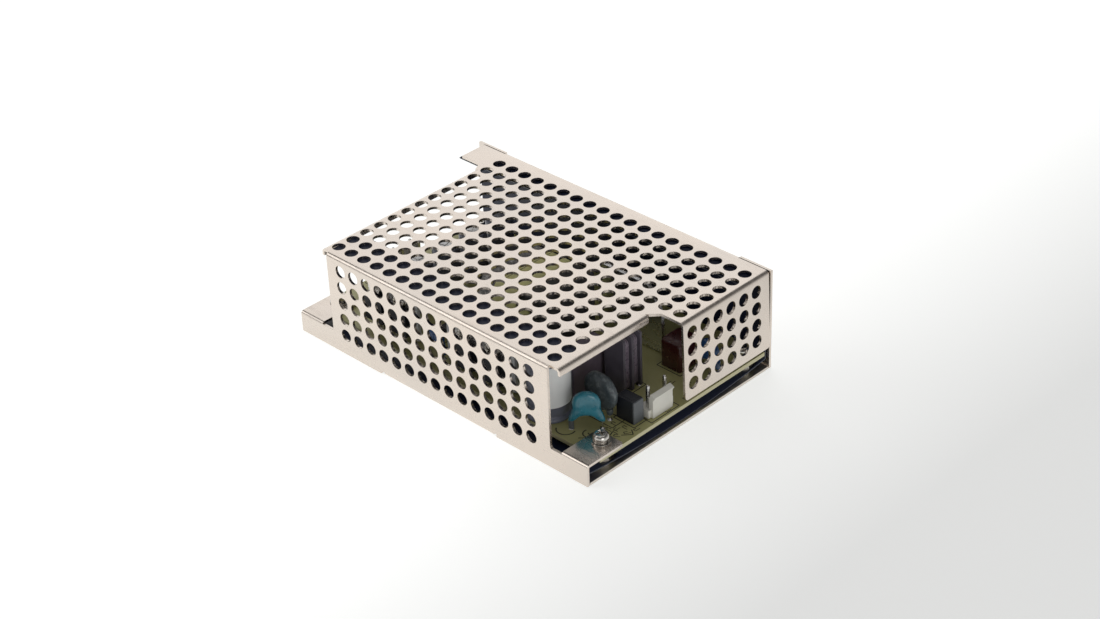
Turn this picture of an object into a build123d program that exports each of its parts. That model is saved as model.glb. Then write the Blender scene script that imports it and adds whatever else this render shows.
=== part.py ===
"""Enclosed switch-mode power supply: a populated circuit board between a flat base plate
and a folded, perforated sheet-metal cover.

Millimetres, +Z up.  The origin is at the middle of the underside.  X runs along the unit,
with the mains end and its open connector bay at +X; -Y is the perforated side wall.
"""
import os
from math import cos, radians, sin

from build123d import *

# Enclosure
length = 137.2          # low strips of the walls, end to end
width = 89.7            # over the two walls
height = 38.4           # underside to top face
sheet = 1.0             # sheet thickness
bend = 1.5              # outside radius of the folds
seam = 0.3              # gap between sheet edges that only meet

# Perforation, on one square pattern
pitch = 6.35
hole_diameter = 4.6
hole_sides = 6          # each hole is drawn with this many flats
first_column_inset = 3.93   # from the rear lip's face to the first column
first_row_inset = 5.62      # from the near wall's face to the first row
first_row_drop = 5.0    # top face down to the first row in the wall and the flange
hole_margin = 3.0       # least distance from a hole's centre to an edge or a fold

# Flats on other round things that repeat or stay out of sight
small_sides = 8
round_sides = 16
disc_sides = 12
film_flats = 6

# Cut-outs and folds of the cover
wall_rear_inset = 17.2  # ends of the near wall's full-height part, from the ends of the strips
wall_front_inset = 16.1
far_fold_inset = 13.6   # ends of the far wall's fold
lip_height = 2.7        # short folded edges of the top
lip_rear_inset = 13.6   # outer faces of those edges
lip_front_inset = 11.9
bay_width = 45.95       # connector bay's cut-out, from the near wall's face
bay_corner = 3.6        # chamfer in the cut-out's inner corner
ear_inset = 3.0         # ear at the top's far rear corner
ear_width = 12.45
ear_corner = 3.6
flange_inset = 0.5      # perforated front flange, outer face at its fold
flange_flare = 2.0      # degrees outwards
flange_bottom_z = 9.0
strip_height = 8.1      # low strips, up to the top face of their tabs
strip_relief = 0.7
tab_length = 11.3
tab_reach = 17.0
foot_half = 26.2        # half length of the in-turned feet
foot_reach = 8.0
foot_relief = 1.6

# Base plate and insulating film
plate_inset = 0.1       # base plate behind the ends of the strips
mount_spacing_x = 90.0
mount_spacing_y = 50.0
mount_thread = 3.0      # M3, drawn at its major diameter
collar_diameter = 4.8
collar_height = 1.6
film = 0.4
film_lift = 2.6         # how far the film's long edges stand above the base plate
film_return = 11.0      # its fold under the far edge of the top
film_inset = 1.0        # its ends behind the ends of the base plate
film_gap = 0.5          # to the walls and the top
film_clearance = 1.2    # around posts and collars
top_strip_width = 17.25 # second film, stuck under the near side of the top, from the wall's face

# Circuit board and its fixings
board_end_inset = 0.7   # from the ends of the strips
board_near_inset = 6.75     # from the near wall's face
board_far_inset = 2.55      # from the far wall's face
board_thickness = 1.6
board_hole_inset_x = 5.1
board_hole_inset_y = 5.9
screw_thread = 3.0
screw_length = 6.0
screw_head = 5.5
screw_head_height = 2.1
recess_width = 0.9
recess_depth = 1.2
screw_hole = 3.4
flat_washer_diameter = 6.4
flat_washer_thickness = 0.5
spring_washer_diameter = 5.6
spring_washer_thickness = 0.9
spring_washer_split = 0.7
post_across = 5.5
post_shank = 4.2
thread_clearance = 0.2

# Mains end
header_pitch = 3.96
header_x = 63.0
header_y = -6.4
header_ends = 1.95      # housing beyond its outer pin positions
header_depth = 5.8
header_base = 3.2
header_wall = 1.3
header_wall_height = 8.9
header_hook = 0.7
pin_side = 1.14
pin_height = 11.5
fuse_size = (7.7, 4.8, 8.6)
fuse_place = (60.0, -15.6)
disc_place = (53.5, -28.9)
disc_turn = 41.0        # degrees from X
disc_diameter = 9.6
disc_thickness = 3.4
disc_lead_pitch = 10.0
disc_centre = 9.5       # above the board
disc_flare = 2.8
varistor_place = (51.8, -20.4)
varistor_diameter = 14.0
varistor_thickness = 3.8
varistor_centre = 9.5
varistor_lead_pitch = 7.5
film_capacitor_place = (35.6, -11.4)
film_capacitor_size = (8.0, 18.0, 15.0)
choke_place = (46.0, -3.4)
choke_size = (8.4, 9.0, 21.0)
choke_flange = 1.0
red_capacitor_place = (51.0, 18.6)
red_capacitor_size = (9.0, 10.0, 11.0)
blue_disc_places = ((60.5, 22.5), (-14.0, -31.6))
blue_disc_diameter = 8.5
blue_disc_thickness = 3.0
blue_disc_centre = 7.5
blue_disc_lead_pitch = 7.5
blue_disc_flare = 2.0
bulk_place = (37.4, -30.0)
bulk_diameter = 16.0
bulk_length = 25.0

# Middle
primary_sink_x0 = -9.0
primary_sink_x1 = 23.0
secondary_sink_x0 = -48.0
secondary_sink_x1 = -23.5
sink_face_y = -30.6     # face of both sinks towards the perforated wall
sink_thickness = 1.5
sink_height = 25.0
sink_top_reach = 9.0
bridge_sink_x0 = 14.0
bridge_sink_x1 = 43.0
bridge_sink_y = 18.6
bridge_size = (20.0, 3.6, 15.0)
transistor_body = (10.2, 4.6, 9.2)
transistor_tab = 1.3
transistor_tab_height = 6.4
transistor_lift = 3.4   # legs between the board and the body
nut_across = 5.5        # nuts of the transistors' screws
nut_thickness = 2.4
primary_transistor_x = (2.0, 15.0)
secondary_transistor_x = (-41.5, -29.5)
transformer_x = 4.0
transformer_y = -1.0
transformer_length = 30.0
transformer_width = 32.0
transformer_height = 25.8
core_leg = 5.0
core_width = 26.0
core_back = 5.6
winding_corner = 2.4
controller_place = (27.0, -1.0)
controller_size = (6.4, 9.4, 3.4)
coupler_place = (-19.0, -20.0)
coupler_size = (6.4, 4.6, 3.5)

# Output end
output_choke_place = (-24.0, 21.0)
output_choke_diameter = 16.0
output_choke_height = 14.0
output_can_x = -40.0
output_can_first_y = -14.0
output_can_pitch = 13.0
output_cans = 4
output_can_diameter = 10.0
output_can_length = 19.0
output_pins = 6
output_header_x = -62.5
output_header_y = -4.0

# Derived places
half_length = length / 2
near_face = -width / 2
far_face = width / 2
far_inner = far_face - sheet
near_inner = near_face + sheet
wall_rear_x = wall_rear_inset - half_length
wall_front_x = half_length - wall_front_inset
far_fold_rear_x = far_fold_inset - half_length
far_fold_front_x = half_length - far_fold_inset
lip_rear_x = lip_rear_inset - half_length
lip_front_x = half_length - lip_front_inset
ear_rear_x = ear_inset - half_length
flange_face_x = half_length - flange_inset
bay_side_y = near_face + bay_width
ear_side_y = far_face - ear_width
first_column_x = lip_rear_x + first_column_inset
first_row_y = near_face + first_row_inset
top_under = height - sheet
fold_y = near_face + bend
tab_under = strip_height - sheet
relief_z = strip_height - strip_relief
board_top = tab_under
board_under = board_top - board_thickness
board_near_y = near_face + board_near_inset
board_far_y = far_face - board_far_inset
board_length = length - 2 * board_end_inset
hole_x = board_length / 2 - board_hole_inset_x
near_hole_y = board_near_y + board_hole_inset_y
far_hole_y = board_far_y - board_hole_inset_y
corners = [(x, y) for y in (near_hole_y, far_hole_y) for x in (-hole_x, hole_x)]
flange_fold_x = flange_face_x - bend


def box(x0, x1, y0, y1, z0, z1):
    """Block between two corners."""
    block = Box(x1 - x0, y1 - y0, z1 - z0)
    return Pos((x0 + x1) / 2, (y0 + y1) / 2, (z0 + z1) / 2) * block


def rod(x, y, z0, z1, diameter, sides=small_sides):
    """Upright round bar, drawn with a number of flats."""
    return Pos(x, y, z0) * extrude(RegularPolygon(diameter / 2, sides), z1 - z0)


def drum(diameter, thickness, sides=disc_sides):
    """Flat round body standing on its rim, facing along Y."""
    face = RegularPolygon(diameter / 2, sides)
    return extrude(Plane.XZ * face, thickness / 2, both=True)


def standing(size, place, z0):
    """Block of a given size, standing at a place."""
    return Pos(place[0], place[1], z0 + size[2] / 2) * Box(*size)


def plan(points, z0, z1):
    """Closed outline seen from above, between two levels."""
    face = make_face(Polyline(*points, close=True))
    return Pos(0, 0, z0) * extrude(face, z1 - z0)


def stacked(steps, x, y, z0):
    """Upright round body made of slices, each a diameter and the level of its top."""
    body = None
    below = z0
    for diameter, top in steps:
        part = rod(x, y, below, z0 + top, diameter, round_sides)
        body = part if body is None else body + part
        below = z0 + top
    return body


def save(shape, name):
    export_step(shape, f"parts/{name}.step")


# Cover


def fold_down(face_x, y0, y1, bottom, flare=0.0):
    """Edge folded down from the top towards +X, its fold's outer face at face_x."""
    turn = radians(flare)
    centre = (face_x - bend, height - bend)
    drop = (centre[1] + bend * sin(turn) - bottom) / cos(turn)
    inner_drop = (centre[1] + (bend - sheet) * sin(turn) - bottom) / cos(turn)

    def below(radius, down):
        x = centre[0] + radius * cos(turn) + down * sin(turn)
        z = centre[1] + radius * sin(turn) - down * cos(turn)
        return (x, z)

    outer_arc = CenterArc(centre, bend, flare, 90 - flare)
    inner_arc = CenterArc(centre, bend - sheet, flare, 90 - flare)
    outline = [
        outer_arc,
        inner_arc,
        Line(below(bend, 0), below(bend, drop)),
        Line(below(bend, drop), below(bend - sheet, inner_drop)),
        Line(below(bend - sheet, inner_drop), below(bend - sheet, 0)),
        Line((centre[0], height), (centre[0], top_under)),
    ]
    profile = make_face(Curve() + outline)
    return extrude(Plane.XZ.offset(-y1) * profile, y1 - y0)


def folded_channel():
    """Top with both walls folded down, over the length of the far fold."""
    outer = box(far_fold_rear_x, far_fold_front_x, near_face, far_face, 0, height)
    outer = fillet(outer.edges().filter_by(Axis.X).group_by(Axis.Z)[-1], bend)
    inner = box(-length, length, near_inner, far_inner, -1, top_under)
    inner = fillet(inner.edges().filter_by(Axis.X).group_by(Axis.Z)[-1], bend - sheet)
    return outer - inner


def near_corner_cuts():
    """Near wall and fold missing at both ends, above the low strips."""
    above = height + 1
    rear = box(-length, wall_rear_x, near_face - 1, fold_y, strip_height, above)
    front = box(wall_front_x, length, near_face - 1, fold_y, strip_height, above)
    notch_rear = box(tab_length - half_length, wall_rear_x, near_face - 1, fold_y, relief_z, above)
    notch_front = box(wall_front_x, half_length - tab_length, near_face - 1, fold_y, relief_z, above)
    edge = box(-length, lip_rear_x + bend, near_face - 1, ear_side_y - ear_corner, relief_z, above)
    return [rear, front, notch_rear, notch_front, edge]


def front_shelf():
    """Flat part of the top between the channel and the front folds."""
    bay_x = lip_front_x - bend
    return plan(
        [
            (far_fold_front_x, fold_y),
            (bay_x, fold_y),
            (bay_x, bay_side_y - bay_corner),
            (bay_x + bay_corner, bay_side_y),
            (flange_fold_x, bay_side_y),
            (flange_fold_x, far_inner - seam),
            (far_fold_front_x, far_inner - seam),
        ],
        top_under,
        height,
    )


def rear_ear():
    """Flat ear of the top at its far rear corner."""
    edge_x = lip_rear_x + bend
    return plan(
        [
            (edge_x, ear_side_y - ear_corner),
            (edge_x - bend, ear_side_y - ear_corner),
            (edge_x - bend - ear_corner / 2, ear_side_y),
            (ear_rear_x, ear_side_y),
            (ear_rear_x, far_inner - seam),
            (edge_x, far_inner - seam),
        ],
        top_under,
        height,
    )


def far_wall_ends():
    """The far wall beyond the fold, with a square upper edge."""
    rear = box(-half_length, far_fold_rear_x, far_inner, far_face, 0, height)
    front = box(far_fold_front_x, half_length, far_inner, far_face, 0, height)
    return [rear, front]


def low_strips():
    """Low ends of the near wall with their screw tabs folded inwards."""
    strips = []
    for side in (-1, 1):
        end = side * half_length
        inner = side * (half_length - tab_length)
        wall = side * (wall_front_x - 1)
        low = box(min(end, wall), max(end, wall), near_face, near_inner, 0, relief_z)
        x0, x1 = min(end, inner), max(end, inner)
        bent = box(x0, x1, near_face, near_face + tab_reach, 0, strip_height)
        bent = fillet(bent.edges().filter_by(Axis.X).group_by(Axis.Z)[-1].sort_by(Axis.Y)[0], sheet)
        tab = bent - box(x0, x1, near_inner, near_face + tab_reach, -1, tab_under)
        tab -= rod(side * hole_x, near_hole_y, 0, height, screw_hole)
        strips += [low, tab]
    return strips


def feet():
    """Lower edges of both walls turned in over the middle."""
    made = []
    for side in (-1, 1):
        outer = side * width / 2
        inner = side * (width / 2 - foot_reach)
        y0, y1 = min(outer, inner), max(outer, inner)
        foot = box(-foot_half, foot_half, y0, y1, 0, sheet)
        fold = foot.edges().filter_by(Axis.X).group_by(Axis.Z)[0]
        edge = fold.sort_by(Axis.Y)[0 if side < 0 else -1]
        made.append(fillet(edge, sheet * 0.9))
    return made


def foot_reliefs():
    """Small notches that end the folds of the feet."""
    cuts = []
    for wall_y in (near_face, far_face):
        for side in (-1, 1):
            x0 = side * (foot_half + foot_relief / 2)
            cut = box(x0 - foot_relief / 2, x0 + foot_relief / 2, wall_y - 2, wall_y + 2, -1, sheet)
            cuts.append(cut)
    return cuts


def row_places(first, low, high):
    """Places of the pattern between two edges, counted from its first hole."""
    count = int((high - first) / pitch) + 1
    places = [first + n * pitch for n in range(count)]
    return [p for p in places if low + hole_margin <= p <= high - hole_margin]


def perforation():
    """Every hole of the top, the near wall and the front flange, as cutting prisms."""
    flat = extrude(RegularPolygon(hole_diameter / 2, hole_sides, major_radius=False), 6, both=True)
    upright = Rot(90, 0, 0) * flat
    facing = Rot(0, 90, 0) * flat
    bay_x = lip_front_x - bend
    holes = []
    for x in row_places(first_column_x, lip_rear_x, flange_fold_x):
        for y in row_places(first_row_y, fold_y, far_face - bend):
            if x <= bay_x - hole_margin or y >= bay_side_y + hole_margin:
                holes.append(Pos(x, y, top_under) * flat)
    for depth in row_places(first_row_drop, 0, height):
        for x in row_places(first_column_x, wall_rear_x, wall_front_x):
            holes.append(Pos(x, near_face, height - depth) * upright)
    for depth in row_places(first_row_drop, 0, height - flange_bottom_z):
        for y in row_places(first_row_y, bay_side_y, far_inner):
            holes.append(Pos(flange_face_x, y, height - depth) * facing)
    return holes


def cover():
    """One folded sheet: top, walls, front flange, lips, strips, tabs and feet."""
    body = folded_channel() - near_corner_cuts()
    flange = fold_down(flange_face_x, bay_side_y, far_inner - seam, flange_bottom_z, flange_flare)
    front_lip = fold_down(lip_front_x, fold_y, bay_side_y - bay_corner, height - lip_height)
    rear_lip = fold_down(-lip_rear_x, fold_y, ear_side_y - ear_corner, height - lip_height)
    rear_lip = mirror(rear_lip, about=Plane.YZ)
    body += [front_shelf(), rear_ear(), front_lip, rear_lip, flange]
    body += far_wall_ends() + low_strips() + feet()
    body -= foot_reliefs()
    return body - perforation()


# Base plate and film


def mount_places():
    half_x = mount_spacing_x / 2
    half_y = mount_spacing_y / 2
    return [(x, y) for x in (-half_x, half_x) for y in (-half_y, half_y)]


def base_plate():
    """Flat plate between the walls, with four tapped collars and four riveted posts' seats."""
    end = half_length - plate_inset
    plate = box(-end, end, near_inner + seam, far_inner - seam, 0, sheet)
    for side in (-1, 1):
        foot = side * (width / 2 - foot_reach / 2)
        half = foot_half + foot_relief
        plate -= box(-half, half, foot - foot_reach / 2 - seam, foot + foot_reach / 2 + seam, -1, 2)
    for x, y in mount_places():
        plate += rod(x, y, 0, sheet + collar_height, collar_diameter)
        plate -= Pos(x, y, 0) * Cylinder(mount_thread / 2, height)
    for x, y in corners:
        plate -= rod(x, y, -1, 2, post_shank)
    return plate


def insulating_film():
    """Black film on the base plate, up the far wall and back under the top."""
    near_y = near_inner + film_gap
    far_y = far_inner - film_gap
    edge = sheet + film_lift
    roof = top_under - film_gap
    back_y = far_inner - film_return
    end = half_length - plate_inset - film_inset
    sag = [n / film_flats * 2 - 1 for n in range(film_flats + 1)]
    under = [(far_y * t if t > 0 else -near_y * t, sheet + film_lift * t * t) for t in sag]
    over = [(y, z + film) for y, z in under[:-1]]
    outline = under + [
        (far_y, roof),
        (back_y, roof),
        (back_y, roof - film),
        (far_y - film, roof - film),
        (far_y - film, edge + film),
    ]
    face = make_face(Polyline(*outline, *reversed(over), close=True))
    lining = extrude(Plane.YZ.offset(-end) * face, 2 * end)
    front = flange_fold_x - film_gap
    lining -= box(front, length, 0, far_face, flange_bottom_z - film_gap, height)
    for x, y in corners:
        lining -= rod(x, y, 0, board_under, post_across + 2 * film_clearance)
    for x, y in mount_places():
        lining -= rod(x, y, 0, board_under, collar_diameter + 2 * film_clearance)
    return lining


def top_film_strip():
    """Flat film stuck under the top, over the heatsinks."""
    x0 = lip_rear_x + bend + film_gap
    x1 = lip_front_x - bend - film_gap
    far_edge = near_face + top_strip_width
    return box(x0, x1, fold_y + film_gap, far_edge, top_under - film, top_under)


# Circuit board and fixings


def circuit_board():
    board = box(-board_length / 2, board_length / 2, board_near_y, board_far_y, board_under, board_top)
    for x, y in corners:
        board -= rod(x, y, 0, height, screw_hole)
    return board


def seat_z(y):
    """Level on which a corner's washers lie: a tab on the near side, the board on the far side."""
    return strip_height if y < 0 else board_top


def posts():
    """Hexagonal threaded posts riveted into the base plate."""
    made = []
    for x, y in corners:
        body = RegularPolygon(post_across / 2, 6, major_radius=False)
        post = Pos(x, y, sheet) * extrude(body, board_under - sheet)
        post += rod(x, y, 0, sheet, post_shank)
        post -= rod(x, y, -1, height, screw_thread + thread_clearance)
        made.append(post)
    return made


def flat_washers():
    made = []
    for x, y in corners:
        z = seat_z(y)
        ring = rod(x, y, z, z + flat_washer_thickness, flat_washer_diameter)
        made.append(ring - rod(x, y, 0, height, screw_hole))
    return made


def spring_washers():
    """Split rings, flattened by their screws."""
    made = []
    for x, y in corners:
        z = seat_z(y) + flat_washer_thickness
        ring = rod(x, y, z, z + spring_washer_thickness, spring_washer_diameter)
        ring -= rod(x, y, 0, height, screw_hole)
        half = spring_washer_split / 2
        made.append(ring - box(x, x + spring_washer_diameter, y - half, y + half, 0, height))
    return made


def screws():
    """Pan-head screws with a cross recess."""
    made = []
    for x, y in corners:
        z = seat_z(y) + flat_washer_thickness + spring_washer_thickness
        head = rod(x, y, z, z + screw_head_height, screw_head)
        head = chamfer(head.edges().group_by(Axis.Z)[-1], screw_head_height * 0.4)
        arm = screw_head * 0.3
        floor = z + screw_head_height - recess_depth
        half = recess_width / 2
        head -= box(x - arm, x + arm, y - half, y + half, floor, height)
        head -= box(x - half, x + half, y - arm, y + arm, floor, height)
        made.append(head + rod(x, y, z - screw_length, z, screw_thread))
    return made


# Mains end


def header_housing(x, y, positions, facing):
    """White wire-to-board header: base block with a hooked locking wall on its outer side."""
    span = (positions - 1) * header_pitch + 2 * header_ends
    half = header_depth / 2
    lock = span / 2 - header_ends + 0.75
    top = header_wall_height
    wall = [
        (half - header_wall, 0),
        (half, 0),
        (half, top - 1.9),
        (half + header_hook, top - 1.1),
        (half + header_hook, top - 0.6),
        (half - header_wall, top),
    ]
    face = make_face(Polyline(*wall, close=True))
    locking = extrude(Plane.XZ.offset(-lock) * face, 2 * lock)
    block = Pos(0, 0, header_base / 2) * Box(header_depth, span, header_base)
    housing = block + locking
    for n in pin_numbers(positions):
        place = (n - (positions - 1) / 2) * header_pitch
        housing -= box(-pin_side / 2, pin_side / 2, place - pin_side / 2, place + pin_side / 2, -1, top)
    turn = 0 if facing > 0 else 180
    return Pos(x, y, board_top) * Rot(0, 0, turn) * housing


def pin_numbers(positions):
    """The mains header leaves its middle position empty; the output header is full."""
    return (0, 2) if positions == 3 else range(positions)


def header_pin_row(x, y, positions):
    """Square pins, pressed through the housing down into the board."""
    made = []
    for n in pin_numbers(positions):
        place = y + (n - (positions - 1) / 2) * header_pitch
        pin = standing((pin_side, pin_side, pin_height), (x, place), board_top)
        made.append(chamfer(pin.edges().group_by(Axis.Z)[-1], pin_side * 0.25))
    return made


def coated_disc(place, turn, diameter, thickness, centre, leads, flare):
    """Dipped disc capacitor: the coating runs down onto its two leads."""
    rims = drum(diameter, thickness)
    body = Pos(0, 0, centre) * chamfer(rims.faces().filter_by(Axis.Y).edges(), thickness * 0.25)
    foot = centre - diameter * 0.65
    for side in (-1, 1):
        skirt = [
            (0, centre),
            (side * diameter * 0.45, centre - diameter * 0.1),
            (side * leads / 2 + side * 0.9, foot),
            (side * leads / 2 - side * 0.9, foot),
            (side * leads * 0.2, foot + flare),
            (0, foot + flare),
        ]
        face = make_face(Polyline(*skirt, close=True))
        body += extrude(Plane.XZ * face, thickness * 0.3, both=True)
        body += standing((0.9, 0.9, foot + 0.5), (side * leads / 2, 0), 0)
    return Pos(place[0], place[1], board_top) * Rot(0, 0, turn) * body


def varistor():
    """Large coated disc, edge-on to the length of the board."""
    disc = drum(varistor_diameter, varistor_thickness)
    disc = chamfer(disc.faces().filter_by(Axis.Y).edges(), varistor_thickness * 0.25)
    disc = Pos(0, 0, varistor_centre) * disc
    for side in (-1, 1):
        place = (side * varistor_lead_pitch / 2, 0)
        disc += standing((0.9, 0.9, varistor_centre - varistor_diameter * 0.3), place, 0)
    return Pos(varistor_place[0], varistor_place[1], board_top) * disc


def boxed_capacitor(size, place, edge=0.6):
    """Cast rectangular capacitor."""
    body = standing(size, place, board_top)
    return chamfer(body.edges().filter_by(Axis.Z), edge)


def choke():
    """Common-mode choke: bobbin flanges across a core, with a coil in each chamber."""
    depth, span, tall = choke_size
    x, y = choke_place
    made = standing((depth * 0.62, span, tall - 2), (x, y), board_top)
    for side in (-1, 0, 1):
        place = y + side * (span - choke_flange) / 2
        made += standing((depth, choke_flange, tall), (x, place), board_top)
    return made


def can(place, diameter, tall, crimped):
    """Radial electrolytic capacitor, its sleeve turned over the top."""
    foot = [(diameter, 1.4), (diameter * 0.92, 2.8)] if crimped else []
    body = stacked(foot + [(diameter, tall)], place[0], place[1], board_top)
    return chamfer(body.edges().group_by(Axis.Z)[-1], 0.5)


# Sinks and semiconductors


def angle_sink(x0, x1, inward):
    """Aluminium angle standing on the board, its top folded over."""
    web = box(x0, x1, sink_face_y, sink_face_y + sink_thickness, board_top, board_top + sink_height)
    y0 = sink_face_y if inward else sink_face_y - sink_top_reach + sink_thickness
    y1 = y0 + sink_top_reach
    top = board_top + sink_height
    return web + box(x0, x1, y0, y1, top - sink_thickness, top)


def tab_hole_z():
    """Level of the screws that hold the transistors' tabs."""
    return board_top + transistor_lift + transistor_body[2] + transistor_tab_height * 0.45


def sink_holes(x_places):
    """Screw holes of the transistors in their sink."""
    hole = drum(screw_hole, 20, small_sides)
    return [Pos(x, sink_face_y, tab_hole_z()) * hole for x in x_places]


def transistor(x):
    """Flat power transistor with its drilled metal tab against the sink."""
    wide, deep, tall = transistor_body
    z0 = board_top + transistor_lift
    y1 = sink_face_y
    body = box(x - wide / 2, x + wide / 2, y1 - deep, y1, z0, z0 + tall)
    body = chamfer(body.edges().group_by(Axis.Y)[0], 0.5)
    tab = box(x - wide / 2, x + wide / 2, y1 - transistor_tab, y1, z0 + tall,
              z0 + tall + transistor_tab_height)
    tab -= Pos(x, y1, tab_hole_z()) * drum(screw_hole, 20, small_sides)
    for n in (-1, 0, 1):
        body += standing((0.8, 0.6, transistor_lift), (x + n * 2.54, y1 - deep / 2), board_top)
    return body + tab


def lying(y0, y1, diameter, sides):
    """Bar along Y between two faces."""
    return Pos(0, (y0 + y1) / 2, 0) * drum(diameter, y1 - y0, sides)


def transistor_screws():
    """Screws through the tabs and the sinks, their heads on the tabs."""
    head_y = sink_face_y - transistor_tab
    end_y = sink_face_y + sink_thickness + nut_thickness
    screw = lying(head_y - screw_head_height, head_y, screw_head, small_sides)
    screw += lying(head_y, end_y, screw_thread, small_sides)
    places = primary_transistor_x + secondary_transistor_x
    return [Pos(x, 0, tab_hole_z()) * screw for x in places]


def transistor_nuts():
    """Nuts behind the sinks."""
    seat = sink_face_y + sink_thickness
    nut = lying(seat, seat + nut_thickness, nut_across, 6)
    nut -= lying(seat - 1, seat + nut_thickness + 1, screw_thread + thread_clearance, small_sides)
    places = primary_transistor_x + secondary_transistor_x
    return [Pos(x, 0, tab_hole_z()) * nut for x in places]


def bridge():
    """Flat bridge rectifier against the far sink, on four legs."""
    x = (bridge_sink_x0 + bridge_sink_x1) / 2
    y = bridge_sink_y + sink_thickness + bridge_size[1] / 2
    lifted = board_top + transistor_lift
    body = standing(bridge_size, (x, y), lifted)
    corner = body.edges().filter_by(Axis.Y).group_by(Axis.Z)[-1].sort_by(Axis.X)[0]
    body = chamfer(corner, 2.4)
    for n in (-1.5, -0.5, 0.5, 1.5):
        body += standing((0.9, 0.7, transistor_lift), (x + n * 5.08, y), board_top)
    return body


def bridge_sink():
    """Plain plate with a cut corner over the connector bay."""
    top = board_top + sink_height
    face = [
        (bridge_sink_x0, board_top),
        (bridge_sink_x1, board_top),
        (bridge_sink_x1, top - 9),
        (bridge_sink_x1 - 6, top),
        (bridge_sink_x0, top),
    ]
    outline = make_face(Polyline(*face, close=True))
    return extrude(Plane.XZ.offset(-bridge_sink_y - sink_thickness) * outline, sink_thickness)


# Transformer


def transformer_core():
    """Ferrite core: two side legs joined over and under the winding."""
    half = transformer_length / 2
    x, y = transformer_x, transformer_y
    z0 = board_top
    z1 = z0 + transformer_height
    core = box(x - half, x + half, y - core_width / 2, y + core_width / 2, z0 + 2, z1)
    inner = half - core_leg
    return core - box(x - inner, x + inner, y - core_width, y + core_width, z0 - 1, z1 - core_back)


def transformer_winding():
    """Taped winding on its bobbin, between the core's legs."""
    inner = transformer_length / 2 - core_leg - seam
    x, y = transformer_x, transformer_y
    half_y = transformer_width / 2
    z1 = board_top + transformer_height - core_back
    coil = box(x - inner, x + inner, y - half_y, y + half_y, board_top + 2, z1)
    coil = chamfer(coil.edges().filter_by(Axis.Z), winding_corner)
    foot = box(x - inner, x + inner, y - half_y + 1, y + half_y - 1, board_top, board_top + 2)
    return coil + foot


# Small parts


def chip(size, place):
    """Dual-in-line package with its legs."""
    body = standing((size[0], size[1], size[2] - 0.8), place, board_top + 0.8)
    pins = max(2, int(size[1] / 2.54))
    for side in (-1, 1):
        for n in range(pins):
            y = place[1] + (n - (pins - 1) / 2) * 2.3
            x = place[0] + side * size[0] / 2
            body += standing((1.2, 0.6, 1.9), (x, y), board_top)
    return body


def output_choke():
    """Drum choke, its winding between two ferrite flanges."""
    wound = output_choke_diameter - 2.8
    tall = output_choke_height
    steps = [(output_choke_diameter, 2), (wound, tall - 2), (output_choke_diameter, tall)]
    return stacked(steps, output_choke_place[0], output_choke_place[1], board_top)


def main():
    os.makedirs("parts", exist_ok=True)
    save(cover(), "perforated_cover")
    save(base_plate(), "base_plate")
    save(insulating_film(), "insulating_film")
    save(top_film_strip(), "top_film_strip")
    save(circuit_board(), "circuit_board")
    save(Compound(posts()), "threaded_posts")
    save(Compound(flat_washers()), "flat_washers")
    save(Compound(spring_washers()), "spring_washers")
    save(Compound(screws()), "corner_screws")

    save(header_housing(header_x, header_y, 3, 1), "mains_header_housing")
    save(Compound(header_pin_row(header_x, header_y, 3)), "mains_header_pins")
    save(boxed_capacitor(fuse_size, fuse_place, 0.3), "mains_fuse")
    save(coated_disc(disc_place, disc_turn, disc_diameter, disc_thickness, disc_centre,
                     disc_lead_pitch, disc_flare), "safety_disc_capacitor")
    save(varistor(), "surge_varistor")
    save(boxed_capacitor(film_capacitor_size, film_capacitor_place), "line_filter_capacitor")
    save(choke(), "common_mode_choke")
    save(boxed_capacitor(red_capacitor_size, red_capacitor_place), "snubber_film_capacitor")
    for n, place in enumerate(blue_disc_places, 1):
        disc = coated_disc(place, 0, blue_disc_diameter, blue_disc_thickness, blue_disc_centre,
                           blue_disc_lead_pitch, blue_disc_flare)
        save(disc, f"class_y_capacitor_{n}")
    save(can(bulk_place, bulk_diameter, bulk_length, True), "bulk_capacitor")

    save(angle_sink(primary_sink_x0, primary_sink_x1, True) - sink_holes(primary_transistor_x),
         "primary_heatsink")
    save(angle_sink(secondary_sink_x0, secondary_sink_x1, False) - sink_holes(secondary_transistor_x),
         "secondary_heatsink")
    save(transistor(primary_transistor_x[0]), "switching_transistor")
    save(transistor(primary_transistor_x[1]), "boost_transistor")
    save(transistor(secondary_transistor_x[0]), "output_rectifier_1")
    save(transistor(secondary_transistor_x[1]), "output_rectifier_2")
    save(Compound(transistor_screws()), "transistor_screws")
    save(Compound(transistor_nuts()), "transistor_nuts")
    save(bridge_sink(), "bridge_heatsink")
    save(bridge(), "bridge_rectifier")
    save(transformer_core(), "transformer_core")
    save(transformer_winding(), "transformer_winding")
    save(chip(controller_size, controller_place), "controller_chip")
    save(chip(coupler_size, coupler_place), "feedback_coupler")

    save(output_choke(), "output_choke")
    for n in range(output_cans):
        place = (output_can_x, output_can_first_y + n * output_can_pitch)
        save(can(place, output_can_diameter, output_can_length, False), f"output_capacitor_{n + 1}")
    save(header_housing(output_header_x, output_header_y, output_pins, -1), "output_header_housing")
    save(Compound(header_pin_row(output_header_x, output_header_y, output_pins)), "output_header_pins")


if __name__ == "__main__":
    main()
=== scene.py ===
"""Looks of the enclosed power supply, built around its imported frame.

Sizes are in millimetres in the same axes as the frame, and each piece is scaled to metres when
its mesh is made.
"""
from math import cos, degrees, radians, sin, sqrt, tau

import bmesh
import bpy
from mathutils import Euler, Matrix, Vector
from mathutils.geometry import delaunay_2d_cdt


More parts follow.
